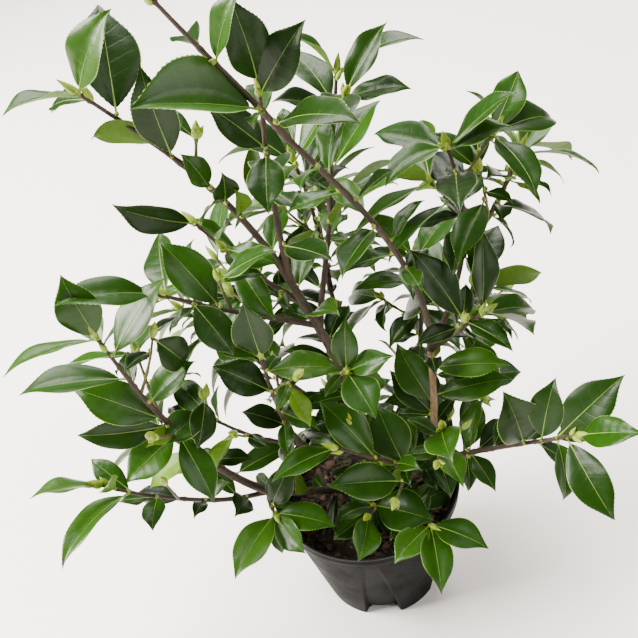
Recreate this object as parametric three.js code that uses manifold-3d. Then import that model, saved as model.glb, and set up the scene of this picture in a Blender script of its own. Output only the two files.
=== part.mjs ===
// Camellia shrub in its nursery pot, in bud.
// Millimetres, +Z up. The origin is the middle of the pot's flat underside.
// The front of the plant faces -Y. A bearing is measured round the pot's axis, from
// the front (0) towards +X (90), and a rise is measured up from level, in degrees.
import * as THREE from 'three';
import { mergeVertices } from 'three/addons/utils/BufferGeometryUtils.js';
import Module from 'manifold-3d';

const wasm = await Module();
wasm.setup();

const UP = new THREE.Vector3(0, 0, 1);
const GAP = 0.3;

// The trunk's root flare: its extra radius at the soil, and how fast that falls off.
const TRUNK_FLARE = 5;
const FLARE_FALL = 22;

// The pot: a round two litre nursery pot, 170 mm across its rim and 130 mm high.
const POT = {
  rimRadius: 85,
  footRadius: 57,
  height: 130,
  wall: 1.8,
  floor: 3,
  collarHeight: 11,
  collarStep: 1.6,
  sides: 44,
  panels: 5,
  firstPanel: -8,
  rows: [40, 80],
  panelTop: 116,
  panelDepth: 7,
  panelHalfAngle: 15,
  archHeight: 9,
  archReach: 10,
};
// The growing mix: its crown's height and radius, how far it drops at the wall, and how
// far it stands off the wall at its edge and further down.
const SOIL = { top: 106, crown: 40, dome: 4, clear: 1.2, slack: 4.5 };

// The leaf of this plant. Widths are shares of its length, lengths shares of its
// mass's leaf. The keel and the root are millimetres thick.
const LEAF = {
  petiole: 0.085,
  leastWidth: 0.44,
  widthRange: 0.06,
  leastLength: 0.84,
  lengthRange: 0.3,
  cutBack: 0.82,
  leastFold: 10,
  foldRange: 16,
  leastCurl: 0.25,
  curlRange: 0.75,
  keel: 0.9,
  root: 0.45,
  stations: [0.36, 0.72],
};

// How a leaf leaves its shoot: it opens by so many degrees, less towards the tip, and
// each new try may turn a little further.
const STANCE = {
  open: 64, closing: 22, sway: 0.22, turn: 0.35, widen: 0.22, flatten: 0.45,
  droopRange: 0.12, facing: 0.6, forward: 0.12, tries: 7, full: 4,
};

// Side twigs: their first place on the stem and the share they are spread over, their
// lean in degrees, their length as a share of the mass's twig, and their girth.
const TWIG = {
  first: 0.22, spread: 0.55, lean: 48, leanRange: 0.2, turnRange: 0.5, flatten: 0.75,
  rise: 0.18, shortest: 0.62, lengthRange: 0.35, girth: 0.72, tip: 0.75, pull: 0.4,
  bare: 0.34, tries: 6,
};

// A bud's length, its radii, where it is widest and how wide its faces stand there.
const BUD = { least: 9, range: 4, girth: [2.6, 1.2], pull: 0.3, belly: 0.4, swell: 2.2 };

// How far leaves, limbs and the pot keep from each other.
const CLEAR = { leaf: 3.2, margin: 1.5, limb: 1.8, twig: 4, pot: 3, rim: 4, blade: 30, leaves: 42 };

// The turn from one leaf or twig to the next round its stem, in radians.
const TURN = 2.4;

// The faces of each kind of limb: its sides, the length of a step, and how far its
// flat sides are let out so that its bulk stays true.
const BARK = {
  trunk: { sides: 9, step: 17, full: 1 },
  bough: { sides: 6, step: 24, full: 1.1 },
  stem: { sides: 4, step: 34, full: 1.25 },
  twig: { sides: 3, step: 34, full: 1.5 },
};

// Limbs. `on` is the carrying limb and `at` the share of its length where the limb
// leaves it (1 is its tip). `tip` is bearing, reach and height, `go` the bearing and
// rise it sets out with, `girth` its radii and `pull` how far it holds that course.
const LIMBS = [
  {
    name: 'trunk', on: null, at: 0, tip: [-74, 26, 366], go: [90, 78],
    girth: [5.2, 3], pull: 0.35,
  },
  {
    name: 'bough_left', on: 'trunk', at: 0.06, tip: [-81, 87, 156], go: [-80, 8],
    girth: [3.9, 3.2], pull: 0.35,
  },
  {
    name: 'bough_mid_left', on: 'trunk', at: 0.2, tip: [-74, 50, 208], go: [-75, 25],
    girth: [3, 2.4], pull: 0.35,
  },
  {
    name: 'bough_right_foot', on: 'trunk', at: 0.08, tip: [67, 61, 168], go: [70, 30],
    girth: [4.2, 3.6], pull: 0.35,
  },
  {
    name: 'bough_right', on: 'bough_right_foot', at: 1, tip: [67, 73, 296], go: [75, 75],
    girth: [3.1, 2.6], pull: 0.3,
  },
  {
    name: 'leader', on: 'bough_right', at: 1, tip: [-7, 46, 492], go: [60, 84],
    girth: [2.4, 1.8], pull: 0.35,
  },
  {
    name: 'bough_back_left', on: 'trunk', at: 0.26, tip: [-130, 81, 236], go: [-130, 35],
    girth: [3, 2.2], pull: 0.35,
  },
  {
    name: 'bough_back_right', on: 'trunk', at: 0.16, tip: [126, 82, 214], go: [120, 35],
    girth: [3.2, 2.3], pull: 0.35,
  },
  {
    name: 'bough_back', on: 'trunk', at: 0.42, tip: [178, 66, 300], go: [175, 40],
    girth: [3, 2.1], pull: 0.35,
  },
  {
    name: 'bough_high_back', on: 'trunk', at: 0.78, tip: [160, 40, 392], go: [150, 60],
    girth: [2.6, 1.9], pull: 0.35,
  },
  {
    name: 'bough_high_right', on: 'bough_right', at: 1, tip: [93, 104, 352], go: [105, 50],
    girth: [2.4, 1.8], pull: 0.35,
  },
];

// Masses of foliage: a leafy stem each, with side twigs. `bare` is the leafless share
// of the stem, `step` the space between leaves and `twig` the length of a side twig.
// `droop` bends the leaves down and `face` turns them to the sky.
const MASSES = [
  {
    name: 'foliage_upper_left', on: 'trunk', tip: [-87, 123, 529], go: [-95, 74], girth: 2.3, leaf: 67, pull: 0.42,
    twigs: 1, bare: 0.3, step: 24, twig: 36, droop: 0.2, face: 1, seed: 2815,
  },
  {
    name: 'foliage_upper_middle', on: 'trunk', tip: [-53, 21, 516], go: [-20, 86], girth: 2.1, leaf: 66,
    twigs: 0, bare: 0.3, step: 24, twig: 40, droop: 0.1, face: 0.7, seed: 3599,
  },
  {
    name: 'foliage_leader', on: 'leader', tip: [-53, 76, 584], go: [-60, 60], girth: 1.7, leaf: 68,
    twigs: 0, bare: 0.1, step: 34, twig: 38, droop: 0.1, face: 1, seed: 507,
  },
  {
    name: 'foliage_left', on: 'bough_left', tip: [-74, 166, 378], go: [-70, 52], girth: 3, leaf: 66, pull: 0.35,
    twigs: 5, bare: 0.18, step: 24, twig: 58, droop: 0.35, face: 0.7, seed: 827,
  },
  {
    name: 'foliage_left_low', on: 'bough_left', tip: [-74, 208, 250], go: [-72, 14], girth: 1.9,
    twigs: 1, bare: 0.45, step: 34, twig: 42, droop: -0.45, face: 1, seed: 1893,
  },
  {
    name: 'foliage_inner_left_low', on: 'bough_mid_left', tip: [-81, 113, 260], go: [-80, 25], girth: 1.6,
    twigs: 1, bare: 0.3, step: 26, twig: 40, droop: 0, face: 0.7, seed: 7453,
  },
  {
    name: 'foliage_inner_left', on: 'bough_mid_left', tip: [-63, 65, 320], go: [-40, 70], girth: 2,
    twigs: 2, bare: 0.2, step: 22, twig: 45, droop: 0.35, face: 0.4, seed: 6834,
  },
  {
    name: 'foliage_left_high', on: 'trunk', tip: [-81, 119, 386], go: [-80, 30], girth: 1.9, at: 0.8,
    twigs: 3, bare: 0.2, step: 24, twig: 45, droop: 0, face: 1, seed: 6500,
  },
  {
    name: 'foliage_left_high_back', on: 'trunk', tip: [-105, 87, 412], go: [-110, 35], girth: 1.7, at: 0.9,
    twigs: 1, bare: 0.35, step: 22, twig: 40, droop: 0.35, face: 0.15, seed: 9601,
  },
  {
    name: 'foliage_middle', on: 'trunk', tip: [3, 40, 300], go: [0, 45], girth: 1.5, at: 0.58,
    twigs: 1, bare: 0.4, step: 18, twig: 36, droop: 0.1, face: 1, seed: 5456,
  },
  {
    name: 'foliage_right', on: 'bough_right', tip: [74, 112, 322], go: [95, 25], girth: 1.9,
    twigs: 2, bare: 0.2, step: 22, twig: 42, droop: 0.1, face: 1, seed: 1411,
  },
  {
    name: 'foliage_right_front', on: 'bough_right_foot', tip: [45, 91, 248], go: [30, 55], girth: 1.8,
    twigs: 2, bare: 0.3, step: 22, twig: 42, droop: -0.3, face: 1, seed: 3552,
  },
  {
    name: 'foliage_right_low', on: 'bough_right_foot', tip: [56, 184, 255], go: [62, 28], girth: 2.1, leaf: 68,
    twigs: 0, bare: 0.36, step: 30, twig: 40, droop: 0.35, face: 1, seed: 2271,
  },
  {
    name: 'foliage_front', on: 'bough_right_foot', tip: [-18, 56, 236], go: [-20, 35], girth: 1.9,
    twigs: 2, bare: 0.2, step: 22, twig: 42, droop: -0.15, face: 1, seed: 4870,
  },
  {
    name: 'foliage_rim_left', on: 'bough_left', tip: [-58, 94, 168], go: [0, 20], girth: 1.6,
    twigs: 0, bare: 0.6, step: 20, twig: 36, droop: 0.35, face: 1, seed: 6938,
  },
  {
    name: 'foliage_rim_front', on: 'trunk', tip: [-4, 58, 154], go: [10, 25], girth: 1.6, at: 0.05,
    twigs: 1, bare: 0.5, step: 20, twig: 32, droop: 0, face: 0.4, seed: 7380,
  },
  {
    name: 'foliage_rim_right', on: 'trunk', tip: [33, 84, 142], go: [35, 12], girth: 1.6, at: 0.03,
    twigs: 1, bare: 0.5, step: 20, twig: 36, droop: 0.2, face: 1, seed: 4928,
  },
  {
    name: 'foliage_back_left', on: 'bough_back_left', tip: [-123, 153, 300], go: [-125, 35], girth: 2.1,
    twigs: 3, bare: 0.2, step: 22, twig: 55, droop: 0.35, face: 0.7, seed: 6824,
  },
  {
    name: 'foliage_back_left_up', on: 'bough_back_left', tip: [-138, 95, 350], go: [-150, 75], girth: 2,
    twigs: 2, bare: 0.25, step: 22, twig: 50, droop: -0.3, face: 0.15, seed: 1672,
  },
  {
    name: 'foliage_back_right', on: 'bough_back_right', tip: [119, 160, 262], go: [120, 30], girth: 2.1,
    twigs: 3, bare: 0.2, step: 22, twig: 55, droop: 0.1, face: 0.15, seed: 5543,
  },
  {
    name: 'foliage_back_right_up', on: 'bough_back_right', tip: [129, 98, 320], go: [130, 70], girth: 2,
    twigs: 2, bare: 0.25, step: 22, twig: 50, droop: 0.35, face: 0.15, seed: 772,
  },
  {
    name: 'foliage_back', on: 'bough_back', tip: [177, 140, 352], go: [180, 30], girth: 2,
    twigs: 3, bare: 0.2, step: 22, twig: 55, droop: 0, face: 1, seed: 7358,
  },
  {
    name: 'foliage_back_up', on: 'bough_back', tip: [-175, 74, 420], go: [170, 70], girth: 1.9,
    twigs: 2, bare: 0.25, step: 22, twig: 50, droop: 0.2, face: 0.7, seed: 7069,
  },
  {
    name: 'foliage_high_back', on: 'bough_high_back', tip: [142, 56, 492], go: [150, 70], girth: 1.8,
    twigs: 2, bare: 0.25, step: 22, twig: 50, droop: -0.45, face: 1, seed: 829,
  },
  {
    name: 'foliage_high_right', on: 'bough_high_right', tip: [96, 151, 420], go: [95, 45], girth: 1.7,
    twigs: 2, bare: 0.2, step: 22, twig: 50, droop: 0.35, face: 0.4, seed: 7310,
  },
  {
    name: 'foliage_high_right_up', on: 'bough_high_right', tip: [88, 96, 446], go: [60, 80], girth: 1.7,
    twigs: 2, bare: 0.25, step: 22, twig: 45, droop: 0.35, face: 0.7, seed: 7508,
  },
  {
    name: 'foliage_low_back', on: 'trunk', tip: [-168, 94, 168], go: [185, 18], girth: 1.9, at: 0.1,
    twigs: 2, bare: 0.45, step: 22, twig: 45, droop: -0.3, face: 0.4, seed: 2717,
  },
  {
    name: 'foliage_low_right', on: 'bough_back_right', tip: [95, 112, 200], go: [95, 5], girth: 1.8,
    twigs: 2, bare: 0.3, step: 22, twig: 42, droop: -0.45, face: 1, seed: 17,
  },
];

// A repeatable stream of chance, in [0, 1).
class Chance {
  constructor(seed) {
    this.state = (seed * 7919 + 12345) % 2147483647;
    this.next();
  }

  next() {
    this.state = (this.state * 48271) % 2147483647;
    return this.state / 2147483647;
  }

  spread(width) {
    return (this.next() * 2 - 1) * width;
  }
}

const radians = THREE.MathUtils.degToRad;

// The point at a bearing, a reach from the pot's axis and a height.
function spot([bearing, reach, height]) {
  const a = radians(bearing);
  return new THREE.Vector3(reach * Math.sin(a), -reach * Math.cos(a), height);
}

// The unit vector of a bearing and a rise.
function heading([bearing, rise]) {
  const a = radians(bearing);
  const e = radians(rise);
  return new THREE.Vector3(Math.sin(a) * Math.cos(e), -Math.cos(a) * Math.cos(e), Math.sin(e));
}

// The sum of vectors, each times its number: blend(a, 2, b, -1) is 2a - b.
function blend(...terms) {
  const sum = new THREE.Vector3();
  for (let i = 0; i < terms.length; i += 2) sum.addScaledVector(terms[i], terms[i + 1]);
  return sum;
}

// The part of a vector that is square to a unit direction.
function squareTo(vector, direction) {
  return blend(vector, 1, direction, -vector.dot(direction));
}

// The distance from a point to the stretch from a to b.
function distanceTo(point, a, b) {
  const run = blend(b, 1, a, -1);
  const t = THREE.MathUtils.clamp(blend(point, 1, a, -1).dot(run) / run.lengthSq(), 0, 1);
  return point.distanceTo(blend(a, 1, run, t));
}

// A tapering limb on one cubic curve.
class Limb {
  constructor(name, kind, foot, tip, aim, girth, pull) {
    const span = foot.distanceTo(tip);
    const out = blend(foot, 1, aim, span * pull);
    const back = blend(tip, 0.6, out, 0.4);
    this.name = name;
    this.kind = kind;
    this.girth = girth;
    this.curve = new THREE.CubicBezierCurve3(foot, out, back, tip);
    const pegs = this.pegs(12);
    this.length = 0;
    for (let i = 0; i < 12; i += 1) this.length += pegs[i].distanceTo(pegs[i + 1]);
    this.stretches = this.pegs(10);
  }

  at(t) {
    return this.curve.getPoint(t);
  }

  along(t) {
    const { v0, v1, v2, v3 } = this.curve;
    const m = 1 - t;
    const course = blend(v1, m * m, v0, -m * m, v2, 2 * m * t, v1, -2 * m * t, v3, t * t, v2, -t * t);
    return course.normalize();
  }

  radius(t) {
    return this.girth[0] + (this.girth[1] - this.girth[0]) * t;
  }

  pegs(count) {
    return Array.from({ length: count + 1 }, (_, i) => this.at(i / count));
  }
}

// Sideways and upward directions square to a course.
function crossOf(course) {
  const side = new THREE.Vector3().crossVectors(course, UP);
  if (side.lengthSq() < 1e-4) side.set(1, 0, 0);
  side.normalize();
  const rise = new THREE.Vector3().crossVectors(side, course).normalize();
  return { side, rise };
}

// Half width of a leaf over its greatest half width, u from the twig (0) to the tip (1).
function halfWidth(u) {
  const b = THREE.MathUtils.clamp((u - LEAF.petiole) / (1 - LEAF.petiole), 0, 1);
  const late = Math.max(0, (b - 0.62) / 0.38);
  return Math.max(0, Math.sin(Math.PI * b ** 0.92)) ** 0.8 * (1 - 0.3 * late ** 1.4);
}

const LEAF_PROBES = [];
for (const u of [0.16, 0.26, 0.36, 0.46, 0.56, 0.66, 0.76, 0.86, 0.94, 1]) {
  for (const v of [-1, -0.5, 0, 0.5, 1]) LEAF_PROBES.push([u, v * halfWidth(u)]);
}

// A leaf folded along its midrib, which curls away from its face on one arc.
class Leaf {
  constructor(base, aim, face, length, width, fold, curl) {
    this.base = base;
    this.aim = aim.clone().normalize();
    this.face = squareTo(face, this.aim).normalize();
    this.side = new THREE.Vector3().crossVectors(this.aim, this.face);
    this.length = length;
    this.width = width;
    this.fold = fold;
    this.curl = curl;
    this.probes = LEAF_PROBES.map(([u, share]) => this.place(u, (share * width) / 2));
    this.middle = blend(...this.probes.flatMap((p) => [p, 1 / this.probes.length]));
  }

  // The point a share u along the midrib, s millimetres across and h off the face.
  place(u, s, h = 0) {
    const arc = this.length / this.curl;
    const bend = this.curl * u;
    const lift = Math.abs(s) * Math.sin(this.fold) + h;
    return blend(
      this.base, 1,
      this.aim, arc * Math.sin(bend) + Math.sin(bend) * lift,
      this.face, arc * (Math.cos(bend) - 1) + Math.cos(bend) * lift,
      this.side, s * Math.cos(this.fold),
    );
  }

  // Whether a point lies too near the blade.
  meets(point) {
    const from = blend(point, 1, this.base, -1);
    const arc = this.length / this.curl;
    const x = from.dot(this.aim);
    const y = from.dot(this.face) + arc;
    const s = Math.abs(from.dot(this.side));
    const u = Math.atan2(x, y) / this.curl;
    if (u <= 0.14 || u >= 1 + CLEAR.margin / this.length) return false;
    if (s >= (halfWidth(u) * this.width) / 2 + CLEAR.margin) return false;
    return Math.abs(Math.hypot(x, y) - arc - s * Math.tan(this.fold)) < CLEAR.leaf;
  }
}

// What has grown so far, and whether the next piece stands clear of it.
class Space {
  constructor() {
    this.limbs = [];
    this.leaves = [];
  }

  twigFits(twig) {
    for (let i = 0; i <= 8; i += 1) {
      const point = twig.at(0.2 + 0.1 * i);
      if (this.leaves.some((leaf) => leaf.meets(point))) return false;
      for (const limb of this.limbs) {
        for (let k = 0; k < 10; k += 1) {
          const reach = distanceTo(point, limb.stretches[k], limb.stretches[k + 1]);
          if (reach - limb.radius((k + 0.5) / 10) <= CLEAR.twig) return false;
        }
      }
    }
    return true;
  }

  leafFits(leaf) {
    return this.clearOfPot(leaf) && this.clearOfLimbs(leaf) && this.clearOfLeaves(leaf);
  }

  clearOfPot(leaf) {
    const flare = (POT.rimRadius - POT.footRadius) / POT.height;
    return leaf.probes.every(({ x, y, z }) => {
      if (z >= POT.height + CLEAR.rim) return true;
      const reach = Math.hypot(x, y);
      const wall = POT.footRadius + flare * THREE.MathUtils.clamp(z, 0, POT.height) + CLEAR.pot;
      if (reach >= wall) return true;
      return z >= SOIL.top + CLEAR.pot && reach <= wall - 2 * CLEAR.pot - POT.wall;
    });
  }

  clearOfLimbs(leaf) {
    const sight = (leaf.length * 0.5 + CLEAR.blade) ** 2;
    for (const limb of this.limbs) {
      for (let k = 0; k < 10; k += 1) {
        const a = limb.stretches[k];
        const b = limb.stretches[k + 1];
        if (a.distanceToSquared(leaf.middle) >= sight) continue;
        const keep = limb.radius((k + 0.5) / 10) + CLEAR.limb;
        if (leaf.probes.some((p) => distanceTo(p, a, b) < keep)) return false;
        if (leaf.meets(a) || leaf.meets(blend(a, 0.5, b, 0.5))) return false;
      }
    }
    return true;
  }

  clearOfLeaves(leaf) {
    const sight = (leaf.length * 0.5 + CLEAR.leaves) ** 2;
    const near = this.leaves.filter((other) => other.middle.distanceToSquared(leaf.middle) < sight);
    if (near.some((other) => leaf.probes.some((p) => other.meets(p)))) return false;
    return !near.some((other) => other.probes.some((p) => leaf.meets(p)));
  }
}

// Where a limb's axis starts: on its carrier's axis, or on the soil for the trunk.
function footing(carrier, at) {
  return carrier ? carrier.at(at) : new THREE.Vector3(2, 0, SOIL.top + GAP);
}

// Side twigs, one after another round the stem, each ending in a bud.
function branch(mass, space, chance) {
  const { stem, plan } = mass;
  const start = chance.spread(Math.PI);
  for (let i = 0; i < plan.twigs; i += 1) {
    const t = TWIG.first + (TWIG.spread * (i + 0.5)) / plan.twigs;
    const course = stem.along(t);
    const { side, rise } = crossOf(course);
    for (let tries = 0; tries < TWIG.tries; tries += 1) {
      const turn = start + i * TURN + chance.spread(TWIG.turnRange);
      const lean = radians(TWIG.lean) + chance.spread(TWIG.leanRange);
      const lift = Math.sin(turn) * TWIG.flatten + TWIG.rise;
      const spoke = squareTo(blend(side, Math.cos(turn), rise, lift), course).normalize();
      const aim = blend(course, Math.cos(lean), spoke, Math.sin(lean));
      const length = plan.twig * (TWIG.shortest + TWIG.lengthRange * chance.next());
      const foot = blend(stem.at(t), 1, spoke, stem.radius(t) * 0.3);
      const tip = blend(foot, 1, blend(aim, 1, UP, TWIG.rise).normalize(), length);
      const girth = [stem.radius(t) * TWIG.girth, TWIG.tip];
      const twig = new Limb(plan.name, 'twig', foot, tip, aim, girth, TWIG.pull);
      if (space.twigFits(twig)) {
        mass.shoots.push(twig);
        space.limbs.push(twig);
        break;
      }
    }
  }
  for (const shoot of mass.shoots) {
    const size = BUD.least + BUD.range * chance.next();
    const course = shoot.along(1);
    const end = blend(shoot.at(1), 1, course, size);
    const bud = new Limb(plan.name, 'bud', shoot.at(1), end, course, BUD.girth, BUD.pull);
    mass.buds.push(bud);
    space.limbs.push(bud);
  }
}

// The shares of a shoot's length where its leaves stand: evenly spaced, then three at
// the tip.
function nodesOf(shoot, bare, step) {
  const leafy = 1 - bare;
  const count = Math.max(1, Math.trunc((shoot.length * leafy) / step));
  const nodes = Array.from({ length: count }, (_, i) => bare + (leafy * 0.94 * i) / count);
  for (let j = 0; j < 3; j += 1) nodes.push(0.9595 + 0.015 * j);
  return nodes;
}

// One try at a leaf, at a share t of a shoot's length and a turn round it.
function tryLeaf(plan, shoot, t, turn, tries, chance) {
  const course = shoot.along(t);
  const { side, rise } = crossOf(course);
  const level = Math.sqrt(Math.max(0, 1 - course.z ** 2));
  const outer = Math.max(0, (t - 0.55) / 0.45);
  const angle = turn + chance.spread(STANCE.turn + STANCE.widen * tries);
  const open = radians(STANCE.open - STANCE.closing * outer) + chance.spread(STANCE.sway);
  const lift = Math.sin(angle) * (1 - STANCE.flatten * level);
  const spoke = blend(side, Math.cos(angle), rise, lift).normalize();
  const droop = plan.droop + chance.spread(STANCE.droopRange);
  const aim = blend(course, Math.cos(open), spoke, Math.sin(open), UP, -droop).normalize();
  const sky = plan.face * (STANCE.facing + level);
  const face = blend(course, Math.sin(open), spoke, -Math.cos(open), UP, sky);
  face.y -= STANCE.forward;
  const share = LEAF.leastLength + LEAF.lengthRange * chance.next();
  const length = plan.leaf * share * (tries >= STANCE.full ? LEAF.cutBack : 1);
  const width = length * (LEAF.leastWidth + LEAF.widthRange * chance.next());
  const fold = radians(LEAF.leastFold + LEAF.foldRange * chance.next());
  const curl = LEAF.leastCurl + LEAF.curlRange * chance.next() ** 1.5;
  const base = blend(shoot.at(t), 1, spoke, shoot.radius(t) * 0.4);
  return new Leaf(base, aim, face, length, width, fold, curl);
}

// Leaves round each shoot. One that would touch anything is turned and tried again,
// and after seven tries it is skipped.
function leafing(mass, space, chance) {
  const { plan } = mass;
  mass.shoots.forEach((shoot, k) => {
    let turn = chance.spread(Math.PI);
    for (const t of nodesOf(shoot, k === 0 ? plan.bare : TWIG.bare, plan.step)) {
      turn += TURN;
      for (let tries = 0; tries < STANCE.tries; tries += 1) {
        const leaf = tryLeaf(plan, shoot, t, turn, tries, chance);
        if (space.leafFits(leaf)) {
          mass.leaves.push(leaf);
          space.leaves.push(leaf);
          break;
        }
      }
    }
  });
}

// Grow the whole plant: limbs and stems first, then one mass after another.
function grow() {
  const space = new Space();
  const limbs = new Map();
  for (const plan of LIMBS) {
    const aim = heading(plan.go);
    const foot = footing(limbs.get(plan.on), plan.at);
    const kind = plan.on ? 'bough' : 'trunk';
    const limb = new Limb(plan.name, kind, foot, spot(plan.tip), aim, plan.girth, plan.pull);
    limbs.set(plan.name, limb);
    space.limbs.push(limb);
  }
  const masses = MASSES.map((sizes) => {
    const plan = { at: 1, leaf: 62, pull: 0.4, ...sizes };
    const aim = heading(plan.go);
    const foot = footing(limbs.get(plan.on), plan.at);
    const stem = new Limb(plan.name, 'stem', foot, spot(plan.tip), aim, [plan.girth, 0.9], plan.pull);
    space.limbs.push(stem);
    return { plan, stem, shoots: [stem], buds: [], leaves: [] };
  });
  for (const mass of masses) {
    const chance = new Chance(mass.plan.seed);
    branch(mass, space, chance);
    leafing(mass, space, chance);
  }
  return { limbs, masses };
}

// A closed mesh through rings of points, with a fan on each end. A ring of one point
// is a tip.
function skin(rings) {
  const points = rings.flat();
  const faces = [];
  let start = 0;
  for (let i = 0; i + 1 < rings.length; i += 1) {
    const here = rings[i].length;
    const next = rings[i + 1].length;
    for (let k = 0; k < Math.max(here, next); k += 1) {
      const a = start + (k % here);
      const b = start + ((k + 1) % here);
      const c = start + here + (k % next);
      const d = start + here + ((k + 1) % next);
      if (here > 1) faces.push(a, c, b);
      if (next > 1) faces.push(b, c, d);
    }
    start += here;
  }
  const first = rings[0].length;
  const last = rings[rings.length - 1].length;
  const end = points.length - last;
  for (let k = 1; k + 1 < first; k += 1) faces.push(0, k, k + 1);
  for (let k = 1; k + 1 < last; k += 1) faces.push(end, end + k + 1, end + k);
  const shell = new THREE.BufferGeometry();
  shell.setAttribute('position', new THREE.Float32BufferAttribute(points.flatMap((p) => p.toArray()), 3));
  shell.setIndex(faces);
  return shell;
}

// A many-sided ring about a point, square to a course, its first corner on one side.
function ring(centre, course, side, radius, sides) {
  const rise = new THREE.Vector3().crossVectors(side, course);
  return Array.from({ length: sides }, (_, k) => {
    const a = (2 * Math.PI * k) / sides;
    return blend(centre, 1, side, radius * Math.cos(a), rise, radius * Math.sin(a));
  });
}

// The rings of a limb's bark, the trunk's flared out at the soil. Let out by some
// millimetres they bound the limb's own space.
function barkRings(limb, letOut = 0) {
  const { sides, step, full } = BARK[limb.kind];
  const flare = limb.kind === 'trunk' ? TRUNK_FLARE : 0;
  const steps = Math.max(2, Math.round(limb.length / step));
  const skirt = (1.2 * letOut) / Math.cos(Math.PI / sides);
  const rings = [];
  let { side } = crossOf(limb.along(0));
  for (let i = 0; i <= steps; i += 1) {
    const t = i / steps;
    const course = flare && i === 0 ? UP : limb.along(t);
    side = squareTo(side, course).normalize();
    const radius = limb.radius(t) * full + flare * Math.exp(-t * FLARE_FALL) + skirt;
    const ahead = 1.2 * ((i === steps ? letOut : 0) - (i === 0 ? letOut : 0));
    rings.push(ring(blend(limb.at(t), 1, course, ahead), course, side, radius, sides));
  }
  return rings;
}

// A leafy shoot: its bark, running out into the pointed bud at its tip.
function shootOf(shoot, bud) {
  const rings = barkRings(shoot);
  const { full, sides } = BARK[shoot.kind];
  const course = bud.along(0);
  const corner = blend(rings[rings.length - 1][0], 1, shoot.at(1), -1);
  const belly = blend(bud.at(0), 1, course, bud.length * BUD.belly);
  rings.push(ring(belly, course, squareTo(corner, course).normalize(), BUD.swell * full, sides));
  rings.push([bud.at(1)]);
  return skin(rings);
}

// A leaf with sharp edges and tip and a keel under its midrib. Let out by some
// millimetres it bounds the leaf's own space.
function bladeOf(leaf, letOut = 0) {
  const section = (u, s, thick) => [
    leaf.place(u, s + letOut, letOut), leaf.place(u, -s - letOut, letOut),
    leaf.place(u, 0, -thick - letOut),
  ];
  const rings = [section(0, LEAF.root, LEAF.root)];
  for (const u of LEAF.stations) rings.push(section(u, (halfWidth(u) * leaf.width) / 2, LEAF.keel));
  rings.push([leaf.place(1 + letOut / leaf.length, 0)]);
  return skin(rings);
}

// A closed geometry as a solid, and a solid as a geometry again.
function solid(geometry) {
  const bare = geometry.clone();
  bare.deleteAttribute('normal');
  bare.deleteAttribute('uv');
  const merged = mergeVertices(bare);
  return new wasm.Manifold(new wasm.Mesh({
    numProp: 3,
    vertProperties: Float32Array.from(merged.attributes.position.array),
    triVerts: Uint32Array.from(merged.index.array),
  }));
}

function geometryOf(manifold) {
  const { vertProperties, triVerts } = manifold.getMesh();
  const geometry = new THREE.BufferGeometry();
  geometry.setAttribute('position', new THREE.BufferAttribute(vertProperties, 3));
  geometry.setIndex(new THREE.BufferAttribute(triVerts, 1));
  geometry.computeVertexNormals();
  return geometry;
}

// The largest piece of a solid, without loose scraps.
function wholePiece(manifold) {
  const pieces = manifold.decompose();
  return pieces.reduce((best, piece) => (piece.volume() > best.volume() ? piece : best));
}

// A solid with the box round it.
function boxed(body) {
  const { min, max } = body.boundingBox();
  return { body, box: new THREE.Box3(new THREE.Vector3(...min), new THREE.Vector3(...max)) };
}

// The stem and twigs of a mass with their buds, joined into one solid.
function woodOf(mass) {
  return wasm.Manifold.union(mass.shoots.map((shoot, k) => solid(shootOf(shoot, mass.buds[k]))));
}

// One mass: its wood and its leaves joined into one solid. A leaf that would touch one
// of the other solids is left out.
function massSolid(mass, wood, others) {
  const parts = [wood];
  for (const leaf of mass.leaves) {
    const room = boxed(solid(bladeOf(leaf, GAP)));
    const near = others.filter((other) => other.box.intersectsBox(room.box));
    if (near.every(({ body }) => body.intersect(room.body).isEmpty())) {
      parts.push(solid(bladeOf(leaf)));
    }
  }
  return wasm.Manifold.union(parts);
}

// The pot wall's radius at a height, before its panels.
function potRadius(z) {
  return POT.footRadius + ((POT.rimRadius - POT.footRadius) * z) / POT.height;
}

// How far a panel is pressed in at a bearing and height: nothing at the top, deepest
// and widest at the foot.
function panelPress(bearing, z) {
  const drop = THREE.MathUtils.clamp((POT.panelTop - z) / POT.panelTop, 0, 1);
  const pitch = 360 / POT.panels;
  const turned = THREE.MathUtils.euclideanModulo(bearing - POT.firstPanel + pitch / 2, pitch);
  const off = Math.abs(turned - pitch / 2);
  const half = 2 + (POT.panelHalfAngle - 2) * drop;
  const edge = THREE.MathUtils.smoothstep(half + 3 - off, 0, 3);
  return POT.panelDepth * drop * edge;
}

// Press the panels into a lathed surface by moving its points inwards.
function pressPanels(geometry) {
  const places = geometry.attributes.position;
  for (let i = 0; i < places.count; i += 1) {
    const x = places.getX(i);
    const y = places.getY(i);
    const z = places.getZ(i);
    const reach = Math.hypot(x, y);
    if (reach < POT.footRadius - 12) continue;
    const bearing = THREE.MathUtils.radToDeg(Math.atan2(x, -y));
    const share = (reach - panelPress(bearing, z)) / reach;
    places.setXY(i, x * share, y * share);
  }
  return geometry;
}

// A lathed closed solid about the Z axis from points of radius and height.
function lathed(profile, sides) {
  const lathe = new THREE.LatheGeometry(profile.map(([r, z]) => new THREE.Vector2(r, z)), sides);
  lathe.rotateX(Math.PI / 2);
  return lathe;
}

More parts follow.
